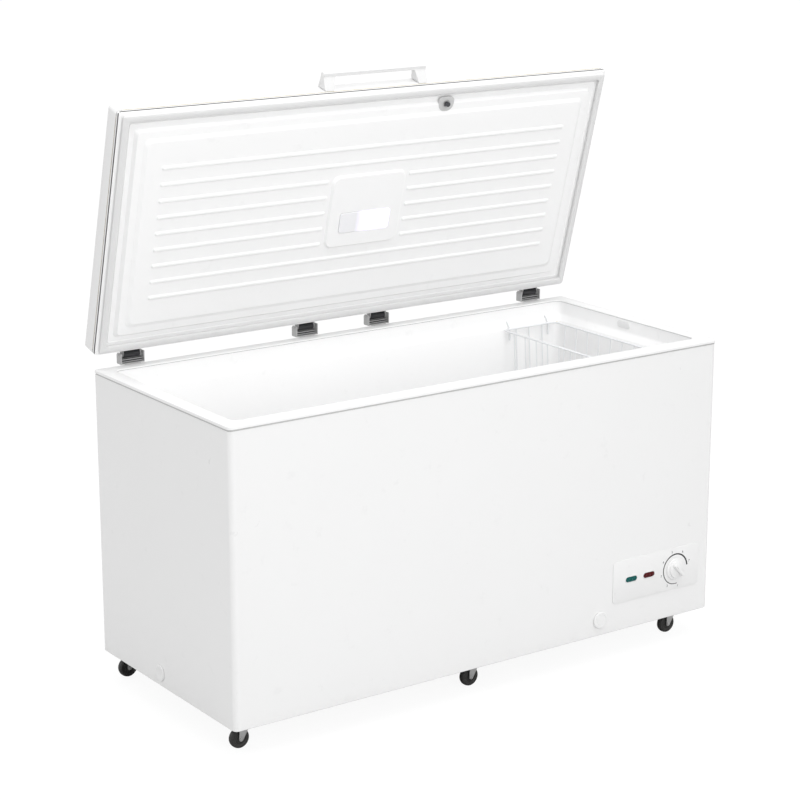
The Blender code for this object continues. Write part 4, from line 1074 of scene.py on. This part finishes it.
def add_basket():
    """Thin wires bent into a tub: U-shapes across and along, level loops, a thicker rail and hooks."""
    s = sizes()
    low, high = box_of("wire_basket")
    x0, x1 = low[0] + 0.002, high[0] - 0.002
    hook0, hook1 = low[1], high[1]
    y0, y1 = hook0 + 0.017, hook1 - 0.017
    top = rim_top() - s.band - s.shoulder - 0.0015
    floor = low[2] + 0.004
    lean = 0.012
    shape = Shape()
    across = int(round((y1 - y0) / s.wire_pitch))
    for i in range(1, across):
        y = y0 + (y1 - y0) * i / across
        shape.grid(
            sweep(
                bent([(x0, y, top), (x0 + lean, y, floor), (x1 - lean, y, floor), (x1, y, top)], 0.014),
                s.wire / 2
            ),
            around=True, caps=True
        )
    along = int(round((x1 - x0) / s.wire_pitch))
    for i in range(1, along):
        x = x0 + (x1 - x0) * i / along
        shape.grid(
            sweep(
                bent(
                    [
                        (x, y0, top), (x, y0 + lean, floor + s.wire),
                        (x, y1 - lean, floor + s.wire), (x, y1, top),
                    ],
                    0.014
                ),
                s.wire / 2
            ),
            around=True, caps=True
        )
    for share, thick in ((0.0, s.rail), (0.50, s.wire), (0.97, s.wire)):
        by = lean * share
        z = top + (floor - top) * share
        loop = rounded((x0, x1, y0, y1), [(by, z)], 0.016, 6)[0]
        shape.grid(sweep(loop, thick / 2, True), around=True, ring=True)
    arm = rim_top() - s.band + 0.001
    for x in (x0 + 0.022, x1 - 0.022):
        for inner, outer in ((y0, hook0 + 0.0025), (y1, hook1 - 0.0025)):
            path = bent([(x, inner, top - 0.030), (x, inner, top + 0.001), (x, outer, arm - 0.0005)], 0.006)
            shape.grid(sweep(path, s.rail / 2 * 0.9), around=True, caps=True)
    shape.piece("basket_wires", LOOKS["wire_white"], "basket", ["wire_basket"], soft=60)


def add_castors():
    """A castor at each swivel of the record."""
    for joint in frame["record"]["behaviour"]["joints"]:
        if joint["name"].startswith("swivel_"):
            add_castor(joint["name"][7:], joint["pos_m"][0], joint["pos_m"][1])


def add_castor(name, x, y):
    """One castor: a shaped tyre on a hub, two tapered legs under a crown with a ball race, and a nut."""
    low, high = box_of(f"castor_wheel_{name}")
    r = (high[2] - low[2]) / 2
    half = (high[1] - low[1]) / 2
    hub = ((low[0] + high[0]) / 2, y, r)
    side = [
        (0.0034, 0.98), (0.0075, 0.98), (0.0082, 0.80), (0.56 * r, 0.72),
        (0.60 * r, 0.86), (0.66 * r, 0.93), (0.88 * r, 0.90), (0.965 * r, 0.66), (r, 0.30)
    ]
    profile = [(a, b * half) for a, b in side] + [(a, -b * half) for a, b in reversed(side)]
    Shape().grid(lathe(profile, hub, "Y"), around=True, ring=True).piece(
        f"tyre_{name}", LOOKS["black_rubber"], f"wheel_{name}", [f"castor_wheel_{name}"]
    )
    low, high = box_of(f"castor_fork_{name}")
    crown = box_of("base_pan")[0][2] - 0.001
    inner = half + 0.0012
    shape = Shape()
    turn = np.linspace(radians(-30), radians(-190), 14)
    tip = 0.0058
    for k in (-1, 1):
        outline = [(x + 0.0125, crown - 0.003), (x + 0.0115, crown - 0.009)]
        outline += [(hub[0] + tip * cos(a), hub[2] + tip * sin(a)) for a in turn]
        outline += [(x - 0.0195, crown - 0.012), (x - 0.0185, crown - 0.003)]
        shape.grid(plate(outline, y + k * inner, y + k * (inner + 0.0015)), around=True, caps=True)
        nut = [
            (0.0044, k * (inner + 0.0015)), (0.0044, k * (inner + 0.0030)),
            (0.0038, k * (inner + 0.0036)), (0.0006, k * (inner + 0.0037))
        ]
        shape.grid(lathe(nut, (hub[0], y, hub[2]), "Y", 6), around=True, caps=True)
    turn = np.linspace(0, 2 * pi, 40, endpoint=False)
    deck = []
    for share, z in (
        (0.93, crown - 0.0044), (1.0, crown - 0.0040), (1.0, crown - 0.0022), (0.93, crown - 0.0018)
    ):
        px = x - 0.0035 + 0.0165 * share * np.cos(turn)
        py = y + np.clip(0.0195 * share * np.sin(turn), -inner - 0.0015, inner + 0.0015)
        deck.append(np.stack([px, py, np.full(40, z)], -1))
    shape.grid(deck, around=True, caps=True)
    race = [
        (0.0150, crown - 0.0018), (0.0155, crown - 0.0012),
        (0.0150, crown - 0.0004), (0.0140, crown), (0.0006, crown)
    ]
    shape.grid(lathe(race, (x, y, 0), "Z", 36), around=True, caps=True)
    shape.grid(
        lathe([(0.0050, crown - 0.001), (0.0050, high[2])], (x, y, 0), "Z", 20), around=True, caps=True
    )
    shape.piece(
        f"fork_plates_{name}", LOOKS["zinc_steel"], f"fork_{name}", [f"castor_fork_{name}"], bevel=0.0003
    )


# ---- stage


def add_stage():
    """A plain pale floor, three soft lamps and the camera."""
    scene = bpy.context.scene
    scene.view_settings.view_transform = "Standard"
    g = Graph("Pale floor")
    cloud = g.noise(2.0)
    g.join(g.shader.inputs["Base Color"], g.mix(cloud, (0.60, 0.60, 0.60, 1.0), (0.62, 0.62, 0.62, 1.0)))
    g.set(Roughness=(0.85 + cloud * 0.05).clamp())
    seen = Value(g, g.node("ShaderNodeLightPath").outputs["Is Camera Ray"])
    glow = g.node("ShaderNodeEmission", None, {"Color": (1.0, 1.0, 1.0, 1.0), "Strength": 1.12})
    both = g.node("ShaderNodeMixShader", None, {0: seen * 0.82, 1: g.shader.outputs[0], 2: glow.outputs[0]})
    g.join(g.tree.nodes["Material Output"].inputs["Surface"], both.outputs[0])
    mesh = bpy.data.meshes.new("floor")
    reach = 40.0
    mesh.from_pydata(
        [(-reach, -reach, 0), (reach, -reach, 0), (reach, reach, 0), (-reach, reach, 0)], [], [(0, 1, 2, 3)]
    )
    mesh.materials.append(g.material)
    floor = bpy.data.objects.new("floor", mesh)
    scene.collection.objects.link(floor)
    world = bpy.data.worlds.new("studio")
    world.use_nodes = True
    world.node_tree.nodes["Background"].inputs[0].default_value = (1.0, 1.0, 1.0, 1.0)
    world.node_tree.nodes["Background"].inputs[1].default_value = 0.86
    scene.world = world
    lamps = (
        ("key_light", (-1.0, -4.4, 2.4), (0.0, -0.3, 0.6), 2.4, 62.0),
        ("top_light", (0.2, -0.9, 4.4), (0.0, 0.1, 0.5), 3.0, 70.0),
        ("side_light", (-4.2, 2.2, 2.0), (-0.7, 0.2, 0.6), 2.0, 26.0),
    )
    for name, place, target, wide, power in lamps:
        lamp = bpy.data.lights.new(name, "AREA")
        lamp.size = wide
        lamp.energy = power
        made = bpy.data.objects.new(name, lamp)
        scene.collection.objects.link(made)
        made.location = place
        made.rotation_euler = (Vector(target) - Vector(place)).to_track_quat("-Z", "Y").to_euler()
    camera = bpy.data.cameras.new("camera")
    camera.lens = 101.7
    camera.sensor_width = 36.0
    view = bpy.data.objects.new("camera", camera)
    scene.collection.objects.link(view)
    share = 0.925
    view.location = ((-2.5943 - 0.76) * share, cabinet_box()[2] - 4.3859 * share, 2.2738 * share)
    view.rotation_euler = (radians(90 - 15.02), 0.0, radians(-35.03))
    camera.clip_end = 200.0
    scene.camera = view


# ---- add-on


def operator(name, label, text, *steps):
    """An operator class whose execute runs the steps in order."""

    def execute(self, context):
        for step in steps:
            step()
        return {"FINISHED"}

    body = {
        "bl_idname": f"freezer.{name}", "bl_label": label,
        "__doc__": text, "execute": execute, "bl_options": {"REGISTER", "UNDO"}
    }
    return type(f"FREEZER_OT_{name}", (bpy.types.Operator,), body)


def finish_nodes():
    """Finishes for every solid that still shows."""
    slots = {entry["node"]: entry["material_slot"] for entry in frame["record"]["subparts"]}
    for name, node in frame["nodes"].items():
        node.data.materials.clear()
        node.data.materials.append(cad_look(name, slots[name]))
        node.data.set_sharp_from_angle(angle=radians(35))


OPERATORS = (
    operator(
        "finishes", "Finishes", "Make every finish and put them on the solids", make_looks, finish_nodes
    ),
    operator("stage", "Stage", "Add the floor, the light and the camera", add_stage),
    operator("cabinet", "Cabinet", "Add the shell, rim and cabin", add_shell, add_rim, add_liner),
    operator("controls", "Controls", "Add the control panel, knob and caps", add_controls),
    operator("lid", "Lid", "Add the lid's pan, panel and seal", add_lid_pan, add_lid_panel, add_gasket),
    operator("handle", "Handle", "Add the handle", add_handle),
    operator("lock", "Lock", "Add the lock's housing", add_lock),
    operator("hinges", "Hinges", "Add the hinges' fastenings", add_hinges),
    operator("basket", "Basket", "Add the basket's wires", add_basket),
    operator("castors", "Castors", "Add the castors", add_castors),
)


class FREEZER_PT_looks(bpy.types.Panel):
    """Buttons for each step of the freezer's looks."""

    bl_label = "Chest freezer"
    bl_space_type = "VIEW_3D"
    bl_region_type = "UI"
    bl_category = "Freezer"

    def draw(self, context):
        for made in OPERATORS:
            self.layout.operator(made.bl_idname)
        for name in FreezerSizes.__annotations__:
            self.layout.prop(context.scene.freezer_sizes, name)


CLASSES = (FreezerSizes, *OPERATORS, FREEZER_PT_looks)


def register():
    for made in CLASSES:
        bpy.utils.register_class(made)
    bpy.types.Scene.freezer_sizes = PointerProperty(type=FreezerSizes)


def unregister():
    del bpy.types.Scene.freezer_sizes
    for made in reversed(CLASSES):
        bpy.utils.unregister_class(made)


def main():
    register()
    for made in OPERATORS:
        getattr(bpy.ops.freezer, made.bl_idname.split(".")[1])()


if __name__ == "__main__":
    main()
